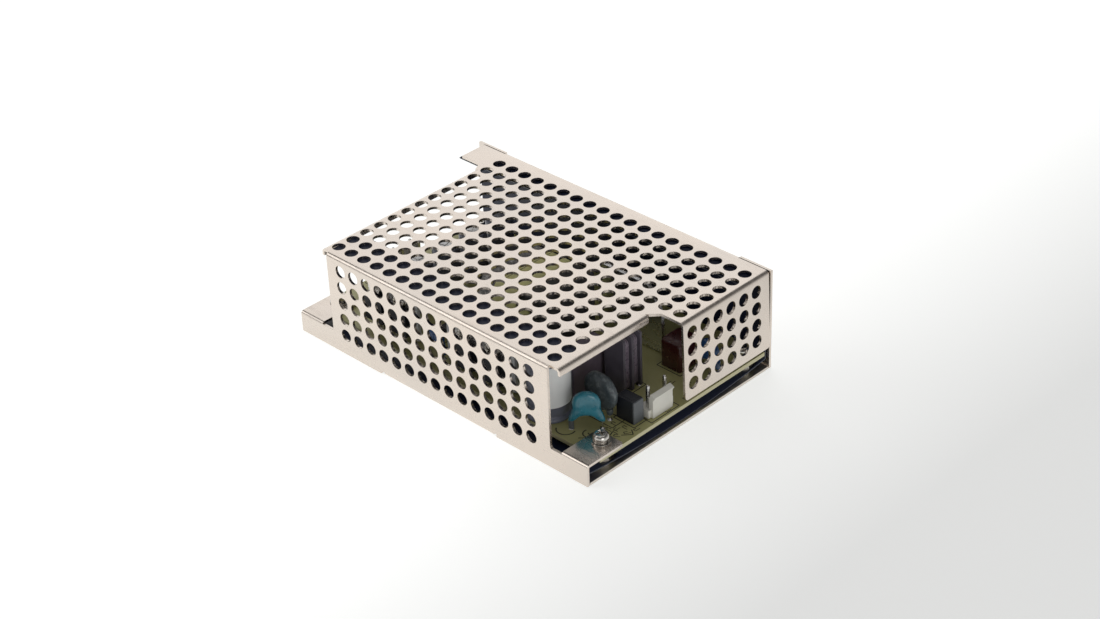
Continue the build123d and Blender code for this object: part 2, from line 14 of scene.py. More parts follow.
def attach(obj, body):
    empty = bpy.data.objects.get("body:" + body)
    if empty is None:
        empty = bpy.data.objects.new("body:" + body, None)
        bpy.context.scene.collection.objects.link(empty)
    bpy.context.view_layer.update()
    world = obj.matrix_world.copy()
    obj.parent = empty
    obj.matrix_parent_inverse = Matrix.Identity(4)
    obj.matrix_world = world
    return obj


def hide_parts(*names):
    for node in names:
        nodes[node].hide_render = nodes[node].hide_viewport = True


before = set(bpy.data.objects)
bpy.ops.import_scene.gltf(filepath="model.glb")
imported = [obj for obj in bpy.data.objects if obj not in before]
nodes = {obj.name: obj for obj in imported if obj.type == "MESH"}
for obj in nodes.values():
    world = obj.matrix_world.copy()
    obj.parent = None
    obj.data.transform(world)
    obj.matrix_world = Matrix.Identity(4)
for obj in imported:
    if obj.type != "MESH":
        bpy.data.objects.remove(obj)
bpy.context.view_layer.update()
scene = bpy.context.scene

MM = 0.001
WELD, SHEET_WELD = 0.0005, 0.01  # vertices closer than this become one

# Sheet-metal cover, by its outer surface
LENGTH, WIDTH, HEIGHT = 137.2, 89.7, 38.4
END, NEAR, FAR = LENGTH / 2, -WIDTH / 2, WIDTH / 2
SHEET, BEND, SMALL_BEND = 1.0, 1.5, 1.15
SEAM = 0.3  # from the top's unfolded far edge to the far wall
FOLD_X = 55.0  # ends of the far fold
FREE_Y = FAR - SHEET - SEAM
FOLD_Z, NEAR_FOLD, FAR_FOLD = HEIGHT - BEND, NEAR + BEND, FAR - BEND
WALL_X0, WALL_X1 = -51.4, 52.5
LIP_X0, LIP_X1, LIP_DROP = -55.0, 56.7, 2.7
REAR_FOLD, FRONT_FOLD = LIP_X0 + BEND, LIP_X1 - BEND
BAY_Y, BAY_CORNER = 1.1, 3.6
EAR_X, EAR_Y, EAR_CORNER = -65.6, 32.4, 3.6
FLANGE_X, FLARE, FLANGE_Z, FLANGE_CORNER = 68.1, radians(2.0), 9.0, 1.2
FLANGE_FOLD = FLANGE_X - BEND
STRIP_Z, RELIEF, RELIEF_CORNER = 8.1, 0.7, 0.9
TAB_X, TAB_REACH, TAB_CUT = END - 11.3, 17.0, 0.8
TAB_FOLD = STRIP_Z - SMALL_BEND
FOOT_X, FOOT_REACH, FOOT_RELIEF = 26.2, 8.0, 1.6

# Its holes, on one square pattern
PITCH, HOLE, HOLE_FLATS = 6.35, 4.6, 32
FIRST_X, FIRST_Y, FIRST_Z = -51.07, -39.23, HEIGHT - 5.0
TOP_COLUMNS, TOP_ROWS = 19, 13
BAY_COLUMNS, BAY_ROWS = 2, 7  # missing from the top over the bay
WALL_COLUMNS, WALL_ROWS, FLANGE_ROWS = 15, 5, 4

# Board, posts and M3 hardware
BOARD_TOP, BOARD_UNDER = 7.1, 5.5
BOARD_X, BOARD_Y0, BOARD_Y1 = 67.9, -38.1, 42.3
SCREW_X, SCREW_Y0, SCREW_Y1 = 62.8, -32.2, 36.4
FIXINGS = [(x, y, seat) for x in (-SCREW_X, SCREW_X)
           for y, seat in ((SCREW_Y0, STRIP_Z), (SCREW_Y1, BOARD_TOP))]
POSTS = [(x, y) for x in (-45, 45) for y in (-25, 25)]
SCREW_HOLE, THREAD, THREAD_PITCH, HEAD, HEAD_TALL = 1.7, 1.5, 0.5, 2.75, 2.1
WASHER = 0.5
HEADER_PITCH = 3.96
INK_Z = BOARD_TOP + 0.012

# Insulating film
FILM, FILM_GAP, FILM_SAG, FILM_RETURN, FILM_BEND = 0.4, 0.5, 2.6, 11.0, 1.5
FILM_X, FILM_Y, FILM_ROOF = END - 1.1, FAR - SHEET - FILM_GAP, HEIGHT - SHEET - FILM_GAP

# Heatsinks
SINK, SINK_BEND, SINK_TOP = 1.5, 1.9, BOARD_TOP + 25.0
SINK_Y, TAB_HOLE_Z = -30.6, 22.58
PRIMARY_X, SECONDARY_X = (2.0, 15.0), (-41.5, -29.5)
PACKAGE_Z = BOARD_TOP + 3.4


# Materials


class Look:
    """Node tree of a material or world, with the shader it ends in."""

    def __init__(self, owner, shader="Principled BSDF"):
        owner.use_nodes = True
        self.owner, self.tree = owner, owner.node_tree
        self.shader = self.tree.nodes[shader]

    def feed(self, node, inputs):
        """Links or sets a node's inputs."""
        for name, value in inputs.items():
            if isinstance(value, bpy.types.NodeSocket):
                self.tree.links.new(value, node.inputs[name])
            else:
                node.inputs[name].default_value = value

    def node(self, kind, inputs, **options):
        """Adds a node and gives its outputs."""
        made = self.tree.nodes.new("ShaderNode" + kind)
        for name, value in options.items():
            setattr(made, name, value)
        self.feed(made, inputs)
        return made.outputs

    def noise(self, scale, detail=3.0, stretch=(1, 1, 1), rough=0.5, warp=0.0):
        """Noise in the object's own metres; scale is in features a metre."""
        place = self.node("TexCoord", {})["Object"]
        stretched = self.node("Mapping", {"Vector": place, "Scale": stretch})["Vector"]
        return self.node("TexNoise", {"Vector": stretched, "Scale": scale, "Detail": detail,
                                      "Roughness": rough, "Distortion": warp})["Fac"]

    def ramp(self, value, *stops):
        """Colours a value by (position, colour) stops."""
        made = self.tree.nodes.new("ShaderNodeValToRGB")
        bar = made.color_ramp.elements
        bar[0].position, bar[1].position = stops[0][0], stops[-1][0]
        bar[0].color, bar[1].color = (*stops[0][1], 1), (*stops[-1][1], 1)
        for where, colour in stops[1:-1]:
            bar.new(where).color = (*colour, 1)
        self.feed(made, {"Fac": value})
        return made.outputs["Color"]

    def span(self, value, low, high, start=0.3, end=0.7):
        """Maps a value from start..end to low..high."""
        return self.node("MapRange", {"Value": value, "From Min": start, "From Max": end,
                                      "To Min": low, "To Max": high})["Result"]

    def bumps(self, *layers):
        """Stacks bump layers, each a height, its strength and its depth in mm."""
        normal = {}
        for height, strength, depth in layers:
            made = self.node("Bump", {"Height": height, "Strength": strength,
                                      "Distance": depth * MM, **normal})
            normal = {"Normal": made["Normal"]}
        self.feed(self.shader, normal)

    def finish(self, inputs):
        self.feed(self.shader, inputs)
        return self.owner


def new_look(name):
    return Look(bpy.data.materials.new(name))


def shade(colour, factor):
    return tuple(min(1.0, c * factor) for c in colour)


def plain(name, colour, rough, spread=0.12, grain=900, blotch=90, depth=0.02, metallic=0.0,
          coat=0.0):
    """Moulded, dipped or cast surface: blotches of tone, grain in its gloss and a fine bump."""
    look = new_look(name)
    tone, fine = look.noise(blotch, 4), look.noise(grain)
    look.bumps((tone, 0.25, depth * 3), (fine, 0.5, depth))
    return look.finish({
        "Base Color": look.ramp(tone, (0.3, shade(colour, 1 - spread)),
                                (0.7, shade(colour, 1 + spread))),
        "Roughness": look.span(fine, rough - 0.08, rough + 0.08),
        "Metallic": metallic, "Coat Weight": coat})


def bare_sheet(name, warm, cool, rough, wave=0.25, metallic=1.0):
    """Bare rolled sheet: long faint rolling lines, cloudy tone, small handling marks."""
    look = new_look(name)
    cloud = look.noise(28, 4)
    rolling = look.noise(700, 4, (0.05, 1, 1))
    marks = look.noise(240, warp=1.2)
    both = look.node("Math", {0: rolling, 1: marks}, operation="MULTIPLY")[0]
    look.bumps((cloud, wave, 0.35), (rolling, 0.04, 0.01), (marks, 0.03, 0.02))
    return look.finish({"Base Color": look.ramp(cloud, (0.32, cool), (0.68, warm)),
                        "Roughness": look.span(both, rough - 0.07, rough + 0.09, 0.12, 0.42),
                        "Metallic": metallic})


def film_material():
    """Smooth black plastic film with long soft waves."""
    look = new_look("film_black")
    wave, fine = look.noise(14, 2, (1, 0.25, 1)), look.noise(500)
    look.bumps((wave, 0.4, 0.5), (fine, 0.1, 0.01))
    return look.finish({
        "Base Color": look.ramp(wave, (0.3, (0.007, 0.011, 0.030)), (0.7, (0.013, 0.019, 0.046))),
        "Roughness": look.span(fine, 0.36, 0.50), "Specular IOR Level": 0.22})


def board_material():
    """Coated laminate: yellow-green faces with faint clouds, and a paler sawn edge."""
    look = new_look("board_laminate")
    weave, cloud = look.noise(1500, 2), look.noise(60, 4)
    facing = look.node("NewGeometry", {})["True Normal"]
    flat = look.node("Math", {0: look.node("SeparateXYZ", {0: facing})["Z"]},
                     operation="ABSOLUTE")[0]
    face = look.ramp(cloud, (0.3, (0.345, 0.330, 0.135)), (0.7, (0.440, 0.420, 0.195)))
    edge = (0.52, 0.49, 0.30, 1)
    look.bumps((weave, 0.25, 0.02), (cloud, 0.1, 0.05))
    return look.finish({
        "Base Color": look.node("Mix", {"A": edge, "Factor": flat, "B": face},
                                data_type="RGBA")["Result"],
        "Roughness": look.span(weave, 0.34, 0.50)})


def mottled(name, low, high, rough, scale, metallic=0.0, depth=0.12, coat=0.2):
    """Coating or foil with pale flecks on a darker ground."""
    look = new_look(name)
    patches, fine = look.noise(scale, 6, rough=0.72, warp=0.6), look.noise(scale * 5)
    look.bumps((patches, 0.5, depth), (fine, 0.3, depth * 0.2))
    return look.finish({
        "Base Color": look.ramp(patches, (0.36, low), (0.52, shade(low, 1.6)), (0.66, high)),
        "Roughness": look.span(fine, rough - 0.1, rough + 0.1),
        "Metallic": metallic, "Coat Weight": coat})


cover_metal = bare_sheet("cover_metal", (0.735, 0.650, 0.575), (0.690, 0.625, 0.565), 0.25)
plate_metal = bare_sheet("plate_metal", (0.70, 0.64, 0.57), (0.62, 0.58, 0.53), 0.40)
aluminium = bare_sheet("sink_aluminium", (0.86, 0.865, 0.87), (0.78, 0.79, 0.81), 0.48, 0.1, 0.3)
plate_aluminium = bare_sheet("plate_aluminium", (0.74, 0.745, 0.75), (0.66, 0.67, 0.69), 0.30,
                             0.1)
nickel = plain("nickel_plate", (0.62, 0.60, 0.56), 0.20, 0.10, 1600, 300, 0.004, metallic=1.0)
tinned = plain("tinned_lead", (0.66, 0.65, 0.63), 0.26, 0.12, 2200, 400, 0.004, metallic=1.0)
solder = plain("solder", (0.60, 0.61, 0.62), 0.30, 0.15, 1200, 260, 0.02, metallic=1.0)
black_film = film_material()
# Much lighter than the black film: a painted highlight along the film's cut edge.
film_edge_highlight = plain("film_edge_highlight", (0.070, 0.080, 0.100), 0.30, 0.12, 900, 120, 0.01)
laminate = board_material()
ink = plain("board_ink", (0.035, 0.033, 0.02), 0.55, 0.3, 1800, 600, 0.01)
header_white = plain("header_white", (0.70, 0.685, 0.62), 0.42, 0.05, 1200, 160, 0.01)
moulded_black = plain("moulded_black", (0.012, 0.014, 0.020), 0.42, 0.25, 1600, 160, 0.012)
moulded_grey = plain("moulded_grey", (0.105, 0.115, 0.125), 0.45, 0.12, 1600, 160, 0.012)
teal_dip = plain("teal_dip", (0.022, 0.175, 0.235), 0.30, 0.22, 420, 140, 0.05, coat=0.35)
blue_dip = plain("blue_dip", (0.020, 0.085, 0.245), 0.28, 0.22, 420, 140, 0.05, coat=0.35)
varistor_dip = mottled("varistor_dip", (0.040, 0.050, 0.056), (0.165, 0.185, 0.190), 0.36, 420)
foil = mottled("shield_foil", (0.16, 0.16, 0.165), (0.80, 0.79, 0.77), 0.34, 520, 0.5, 0.2, 0.0)
red_dip = plain("red_dip", (0.050, 0.009, 0.008), 0.32, 0.20, 500, 160, 0.05, coat=0.3)
brown_case = plain("brown_case", (0.150, 0.118, 0.150), 0.38, 0.16, 900, 120, 0.02)
choke_wire = plain("choke_wire", (0.190, 0.155, 0.195), 0.30, 0.22, 900, 220, 0.02, coat=0.3)
choke_frame = plain("choke_frame", (0.100, 0.090, 0.115), 0.40, 0.15, 1100, 200, 0.02)
sleeve = plain("sleeve_slate", (0.140, 0.150, 0.195), 0.34, 0.14, 800, 70, 0.015, coat=0.15)
label_grey = plain("label_grey", (0.80, 0.81, 0.80), 0.42, 0.05, 1400, 90, 0.005)
can_metal = plain("can_metal", (0.62, 0.63, 0.64), 0.32, 0.08, 1600, 200, 0.01, metallic=1.0)
bung_black = plain("bung_black", (0.02, 0.02, 0.022), 0.70, 0.2, 1500, 220, 0.02)
ferrite = plain("ferrite", (0.035, 0.036, 0.040), 0.52, 0.22, 1600, 220, 0.03)
yellow_tape = plain("yellow_tape", (0.88, 0.85, 0.40), 0.34, 0.16, 600, 110, 0.03, coat=0.2)
# Dark olive for thin strips on the winding's tape: painted shade lines at the tape's overlapping
# edges.
tape_edge_shade = plain("tape_edge_shade", (0.085, 0.070, 0.030), 0.50, 0.2, 900, 200, 0.02)
enamel = plain("copper_enamel", (0.42, 0.16, 0.055), 0.26, 0.18, 900, 260, 0.01, metallic=0.8,
               coat=0.4)


# Outlines


def rectangle(x0, x1, y0, y1):
    return [(x0, y0), (x1, y0), (x1, y1), (x0, y1)]


def circle(r, sides=32, x=0.0, y=0.0, phase=0.0):
    """Its first point lies the share phase of a step past the X axis."""
    return [(x + r * cos(tau * (k + phase) / sides), y + r * sin(tau * (k + phase) / sides))
            for k in range(sides)]


def arc(cx, cy, r, start, end, steps):
    """Points on an arc, angles in degrees."""
    angles = [radians(start + (end - start) * k / steps) for k in range(steps + 1)]
    return [(cx + r * cos(a), cy + r * sin(a)) for a in angles]


def rounded(x0, x1, y0, y1, r, steps=5):
    """Rectangle with round corners."""
    return [*arc(x1 - r, y1 - r, r, 0, 90, steps), *arc(x0 + r, y1 - r, r, 90, 180, steps),
            *arc(x0 + r, y0 + r, r, 180, 270, steps), *arc(x1 - r, y0 + r, r, 270, 360, steps)]


def mirrored(points):
    """The other side of an outline that runs on across the second axis."""
    return [(-u, v) for u, v in reversed(points)]


def smooth_loop(points, steps):
    """Closed Catmull-Rom curve through points."""
    made = []
    count = len(points)
    for k in range(count):
        a, b, c, d = (Vector(points[(k + s) % count]) for s in (-1, 0, 1, 2))
        for s in range(steps):
            t = s / steps
            made.append(0.5 * ((2 * b) + (c - a) * t + (2 * a - 5 * b + 4 * c - d) * t * t
                               + (3 * b - a - 3 * c + d) * t * t * t))
    return made


# Places


def at(x, y, z=BOARD_TOP, turn=0.0):
    return Matrix.Translation((x, y, z)) @ Matrix.Rotation(radians(turn), 4, "Z")


def upright(x=0.0, y=0.0, z=0.0):
    """Turns a local XY outline to face along -Y: local X stays, local Y becomes Z."""
    return Matrix.Translation((x, y, z)) @ Matrix.Rotation(radians(90), 4, "X")


def level(outline, z, place=Matrix()):
    """Points of an outline in local X and Y, at local height z."""
    return [place @ Vector((u, v, z)) for u, v in outline]


# Mesh helpers


def placed(name, data):
    made = bpy.data.objects.new(name, data)
    scene.collection.objects.link(made)
    return made


def paint(node, material):
    held = nodes[node].data.materials
    held.clear()
    held.append(material)


def piece(name, bm, materials, node, bevel=0.0, segments=2, smooth=35, limit=40, weld=0.0):
    """Turns a mesh in millimetres into a finished piece that rides on the body. The frame node
    that it replaces takes its first material too."""
    if weld:
        bmesh.ops.remove_doubles(bm, verts=bm.verts, dist=weld)
    bmesh.ops.recalc_face_normals(bm, faces=bm.faces)
    mesh = bpy.data.meshes.new(name)
    bm.to_mesh(mesh)
    bm.free()
    mesh.transform(Matrix.Scale(MM, 4))
    for material in materials:
        mesh.materials.append(material)
    mesh.shade_smooth()
    mesh.set_sharp_from_angle(angle=radians(smooth))
    made = placed(name, mesh)
    if bevel:
        soften(made, bevel, segments, limit)
    paint(node, materials[0])
    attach(made, "root")
    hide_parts(node)
    return made


def soften(made, width, segments=2, limit=40):
    edges = made.modifiers.new("edges", "BEVEL")
    edges.width = width * MM
    edges.segments = segments
    edges.limit_method = "ANGLE"
    edges.angle_limit = radians(limit)
    edges.harden_normals = True
    edges.use_clamp_overlap = True


def thicken(made, thickness):
    """Gives an open sheet its thickness, away from the side that its highest faces show."""
    mesh = made.data
    top = max(f.center.z for f in mesh.polygons) - 0.2 * MM
    if sum(f.normal.z * f.area for f in mesh.polygons if f.center.z > top) < 0:
        mesh.flip_normals()
    sheet = made.modifiers.new("sheet", "SOLIDIFY")
    sheet.thickness = thickness * MM
    sheet.offset = -1
    sheet.use_even_offset = True
    return sheet


def verts(bm, points):
    return [bm.verts.new(p) for p in points]


def patch(bm, points, mat=0):
    """Single face."""
    bm.faces.new(verts(bm, points)).material_index = mat


def band(bm, a, b, mat=0):
    """Quads all the way round between two rings of vertices."""
    for k in range(len(a)):
        m = (k + 1) % len(a)
        bm.faces.new([a[k], a[m], b[m], b[k]]).material_index = mat


def skin(bm, rings, mat=0):
    """Closed body through a row of rings of vertices."""
    for a, b in zip(rings, rings[1:]):
        band(bm, a, b, mat)
    for end in (rings[0], rings[-1]):
        bm.faces.new(end).material_index = mat


def loft(bm, loops, mat=0):
    """Closed body through a row of loops with the same number of points."""
    skin(bm, [verts(bm, loop) for loop in loops], mat)


def block(bm, x0, x1, y0, y1, z0, z1, mat=0, place=Matrix()):
    size = Matrix.Diagonal((x1 - x0, y1 - y0, z1 - z0, 1))
    middle = Matrix.Translation(((x0 + x1) / 2, (y0 + y1) / 2, (z0 + z1) / 2))
    made = bmesh.ops.create_cube(bm, size=1, matrix=place @ (middle @ size))
    for face in {f for v in made["verts"] for f in v.link_faces}:
        face.material_index = mat


def lathe(bm, profile, place, sides=48, mat=0, mats=None):
    """Turns (radius, height) points round the local Z axis. mats gives a slot for each band."""
    rings = [verts(bm, level(circle(r, sides) if r else [(0, 0)], z, place)) for r, z in profile]
    for row, (a, b) in enumerate(zip(rings, rings[1:])):
        for k in range(sides):
            corners = [a[k % len(a)], a[(k + 1) % len(a)], b[(k + 1) % len(b)], b[k % len(b)]]
            corners = list(dict.fromkeys(corners))
            if len(corners) > 2:
                bm.faces.new(corners).material_index = mats[row] if mats else mat


def tube(bm, points, radius, sides=10, mat=0, closed=False):
    """Round wire along points."""
    points = [Vector(p) for p in points]
    count = len(points)
    rings = []
    up = Vector((0, 0, 1))
    for k, p in enumerate(points):
        before = points[k - 1] if k or closed else p
        after = points[(k + 1) % count] if k < count - 1 or closed else p
        along = (after - before).normalized()
        if abs(along.dot(up)) > 0.95:
            up = Vector((1, 0, 0)) if abs(along.x) < 0.8 else Vector((0, 1, 0))
        side = along.cross(up).normalized()
        up = side.cross(along).normalized()
        rings.append(verts(bm, [p + u * side + v * up for u, v in circle(radius, sides)]))
    if closed:
        for a, b in zip(rings, rings[1:] + rings[:1]):
            band(bm, a, b, mat)
    else:
        skin(bm, rings, mat)


def pillow(bm, outline, centre, thickness, edge, place):
    """Dipped body: an outline in local X and Z, inflated along local Y."""
    middle, steps = Vector(centre), 9
    front = []
    for k in range(steps):
        scale = 1 - k / steps
        y = edge / 2 + (thickness - edge) / 2 * sqrt(1 - scale ** 2.4)
        front.append([(y, middle + (Vector(p) - middle) * scale) for p in outline])
    layers = [[(q.x, -y, q.y) for y, q in loop] for loop in reversed(front)]
    layers += [[(q.x, y, q.y) for y, q in loop] for loop in front]
    rings = [verts(bm, [place @ Vector(p) for p in layer]) for layer in layers]
    for a, b in zip(rings, rings[1:]):
        band(bm, a, b)
    for side, rim in ((-1, rings[0]), (1, rings[-1])):
        tip = bm.verts.new(place @ Vector((centre[0], side * thickness / 2, centre[1])))
        for a, b in zip(rim, rim[1:] + rim[:1]):
            bm.faces.new([a, b, tip])


def panel(bm, outline, holes, place, flip=False, mat=0, stations=()):
    """Panel with holes. Its counter-clockwise outline is given as (u, v), and place sets it in
    space. The panel is also cut along u at each of the stations, where place may bend it."""
    points = [Vector(p) for p in outline]
    faces = [list(range(len(points)))]
    for hole in holes:
        faces.append(list(range(len(points), len(points) + len(hole))))
        points += [Vector(p) for p in hole]
    ends = min(p.x for p in points), max(p.x for p in points)
    edges = []
    for v in stations:
        edges.append((len(points), len(points) + 1))
        points += [Vector((u, v)) for u in ends]
    out = delaunay_2d_cdt(points, edges, faces, 1, 1e-5)
    made = verts(bm, [place(p.x, p.y) for p in out[0]])
    for face, origin in zip(out[2], out[5]):
        if list(origin) == [0]:
            corners = [made[k] for k in face]
            bm.faces.new(corners[::-1] if flip else corners).material_index = mat


def slab(bm, outline, holes, low, high, place=Matrix(), mat=0):
    """Plate with holes: an outline in local X and Y, between two levels."""
    for z in (low, high):
        panel(bm, outline, holes, lambda u, v: place @ Vector((u, v, z)), mat=mat)
    for loop in (outline, *holes):
        band(bm, *(verts(bm, level(loop, z, place)) for z in (low, high)), mat)


def fold(bm, ends, centre, radius, start=0, steps=6):
    """Strip bent from start to 90 degrees. ends are two values along the fold; centre maps
    (along, out, up)."""
    rows = []
    for k in range(steps + 1):
        a = radians(start + (90 - start) * k / steps)
        rows.append(verts(bm, [centre(s, radius * cos(a), radius * sin(a)) for s in ends]))
    for a, b in zip(rows, rows[1:]):
        bm.faces.new([a[0], a[1], b[1], b[0]])


def lead(bm, x, y, top, radius=0.35, mat=1):
    """Wire lead from the board up to a level, with its solder."""
    low = BOARD_TOP - 0.1
    tube(bm, [(x, y, z) for z in (low, (low + top) / 2, top)], radius, mat=mat)
    lathe(bm, [(0, 0.7), (radius, 0.6), (radius + 0.15, 0.3), (radius + 0.55, 0.08),
               (radius + 0.6, 0)], at(x, y), 16, mat)


# Cover


def sheet_hole(x, y):
    return circle(HOLE / 2, HOLE_FLATS, x, y, 0.5)


def top_holes():
    """The whole pattern, less what the bay cuts out."""
    return [sheet_hole(FIRST_X + i * PITCH, FIRST_Y + j * PITCH)
            for i in range(TOP_COLUMNS) for j in range(TOP_ROWS)
            if i < TOP_COLUMNS - BAY_COLUMNS or j >= BAY_ROWS]


def wall_holes():
    return [sheet_hole(FIRST_X + i * PITCH, FIRST_Z - k * PITCH)
            for k in range(WALL_ROWS) for i in range(1, WALL_COLUMNS + 1)]


def top_and_walls(bm):
    top = [(REAR_FOLD, NEAR_FOLD), (WALL_X0, NEAR_FOLD), (WALL_X1, NEAR_FOLD),
           (FRONT_FOLD, NEAR_FOLD), (FRONT_FOLD, BAY_Y - BAY_CORNER),
           (FRONT_FOLD + BAY_CORNER, BAY_Y), (FLANGE_FOLD, BAY_Y), (FLANGE_FOLD, FREE_Y),
           (FOLD_X, FREE_Y), (FOLD_X, FAR_FOLD), (-FOLD_X, FAR_FOLD), (-FOLD_X, FREE_Y),
           (EAR_X, FREE_Y), (EAR_X, EAR_Y), (LIP_X0 - EAR_CORNER / 2, EAR_Y),
           (LIP_X0, EAR_Y - EAR_CORNER), (REAR_FOLD, EAR_Y - EAR_CORNER)]
    panel(bm, top, top_holes(), lambda u, v: (u, v, HEIGHT))

    # Near wall, with its strips and relief notches.
    relief, r = STRIP_Z - RELIEF, RELIEF_CORNER
    right = [(END, TAB_FOLD), (TAB_X, TAB_FOLD), (TAB_X, relief)]
    left = [*arc(WALL_X0 - r, relief + r, r, 0, -90, 3), *mirrored(right)]
    right += arc(WALL_X1 + r, relief + r, r, 270, 180, 3)
    foot = [(FOOT_X, SMALL_BEND), (FOOT_X + FOOT_RELIEF, SMALL_BEND), (FOOT_X + FOOT_RELIEF, 0),
            (END, 0)]
    bottom = mirrored(foot) + foot
    near = bottom + right + [(WALL_X1, FOLD_Z), (WALL_X0, FOLD_Z)] + left
    panel(bm, near, wall_holes(), lambda u, v: (u, NEAR, v))

    far = [(END, HEIGHT), (FOLD_X, HEIGHT), (FOLD_X, FOLD_Z)]
    panel(bm, bottom + far + mirrored(far), [], lambda u, v: (u, FAR, v), flip=True)
    fold(bm, (WALL_X0, WALL_X1), lambda s, a, b: (s, NEAR_FOLD - a, FOLD_Z + b), BEND)
    fold(bm, (FOLD_X, -FOLD_X), lambda s, a, b: (s, FAR_FOLD + a, FOLD_Z + b), BEND)


def flange(bm):
    """Front flange, flared, with its lower corners rounded."""
    fold(bm, (BAY_Y, FREE_Y), lambda s, a, b: (FLANGE_FOLD + a, s, FOLD_Z + b), BEND,
         degrees(FLARE))
    x, z = FLANGE_FOLD + BEND * cos(FLARE), FOLD_Z + BEND * sin(FLARE)
    drop, r = (z - FLANGE_Z) / cos(FLARE), FLANGE_CORNER
    outline = [(BAY_Y, 0), *arc(BAY_Y + r, drop - r, r, 180, 90, 3),
               *arc(FREE_Y - r, drop - r, r, 90, 0, 3), (FREE_Y, 0)]
    holes = [sheet_hole(FIRST_Y + j * PITCH, (z - FIRST_Z + k * PITCH) / cos(FLARE))
             for k in range(FLANGE_ROWS) for j in range(BAY_ROWS, TOP_ROWS)]
    panel(bm, outline[::-1], holes,
          lambda u, v: (x + v * sin(FLARE), u, z - v * cos(FLARE)), flip=True)


def lips(bm):
    """Short lips down from both ends of the top."""
    for side, x, y1 in ((1, FRONT_FOLD, BAY_Y - BAY_CORNER), (-1, REAR_FOLD, EAR_Y - EAR_CORNER)):
        fold(bm, (NEAR_FOLD, y1), lambda s, a, b: (x + side * a, s, FOLD_Z + b), BEND)
        patch(bm, [(x + side * BEND, y, z)
                   for y, z in rectangle(NEAR_FOLD, y1, FOLD_Z, HEIGHT - LIP_DROP)])


def tabs(bm):
    """Screw tabs folded in from the near wall's strips."""
    edge, reach = NEAR + SMALL_BEND, NEAR + TAB_REACH
    for side in (-1, 1):
        x0, x1 = sorted((side * END, side * TAB_X))
        fold(bm, (x0, x1), lambda s, a, b: (s, edge - a, TAB_FOLD + b), SMALL_BEND, steps=4)
        outline = [(x0, edge), (x1, edge), (x1, reach - TAB_CUT), (x1 - TAB_CUT, reach),
                   (x0 + TAB_CUT, reach), (x0, reach - TAB_CUT)]
        panel(bm, outline, [circle(SCREW_HOLE, 24, side * SCREW_X, SCREW_Y0, 0.5)],
              lambda u, v: (u, v, STRIP_Z))


def feet(bm):
    """Feet turned in under both walls."""
    for side in (-1, 1):
        y = side * FAR
        fold(bm, (-FOOT_X, FOOT_X),
             lambda s, a, b: (s, y - side * (SMALL_BEND - a), SMALL_BEND - b), SMALL_BEND, steps=4)
        patch(bm, level(rectangle(-FOOT_X, FOOT_X, y - side * SMALL_BEND, y - side * FOOT_REACH),
                        0))


def cover():
    """The folded sheet's outer surface, thickened inwards."""
    bm = bmesh.new()
    top_and_walls(bm)
    flange(bm)
    lips(bm)
    tabs(bm)
    feet(bm)
    made = piece("perforated_shell", bm, [cover_metal], "perforated_cover",
                 smooth=30, weld=SHEET_WELD)
    thicken(made, SHEET)
    soften(made, 0.18, 2, 50)


# Film and board


def film_height(y):
    """The film's underside, which rises from its middle to its long edges."""
    return SHEET + 0.02 + FILM_SAG * (y / FILM_Y) ** 2


def lining():
    """Insulating film: a shallow trough on the base plate, up the far wall and under the top."""
    bm = bmesh.new()
    strips, over_collar, over_post = 26, 3.95, 3.6
    stations = [FILM_Y * (2 * k / strips - 1) for k in range(1, strips)]
    holes = [circle(over_collar, 24, x, y) for x, y, seat in FIXINGS]
    holes += [circle(over_post, 24, x, y) for x, y in POSTS]
    panel(bm, rectangle(-FILM_X, FILM_X, -FILM_Y, FILM_Y), holes,
          lambda u, v: (u, v, film_height(v)), stations=stations)
    front, below, r = FLANGE_FOLD - FILM_GAP, FLANGE_Z - FILM_GAP, FILM_BEND
    wall = [(-FILM_X, film_height(FILM_Y)), (FILM_X, film_height(FILM_Y)), (FILM_X, below),
            (front, below), (front, FILM_ROOF - r), (-FILM_X, FILM_ROOF - r)]
    panel(bm, wall, [], lambda u, v: (u, FILM_Y, v))
    fold(bm, (-FILM_X, front), lambda s, a, b: (s, FILM_Y - r + a, FILM_ROOF - r + b), r)
    patch(bm, level(rectangle(-FILM_X, front, FILM_Y - r, FAR - SHEET - FILM_RETURN), FILM_ROOF))
    made = piece("film_lining", bm, [black_film, film_edge_highlight], "insulating_film",
                 smooth=50, weld=SHEET_WELD)
    # The film's rim takes the lighter edge material: a painted highlight along its cut edge.
    thicken(made, FILM).material_offset_rim = 1


def stroke(bm, points, width=0.35):
    """Printed line on the board."""
    for a, b in zip(points, points[1:]):
        a, b = Vector(a), Vector(b)
        side = Vector((a.y - b.y, b.x - a.x)).normalized() * width / 2
        patch(bm, level((a + side, b + side, b - side, a - side), INK_Z), 1)


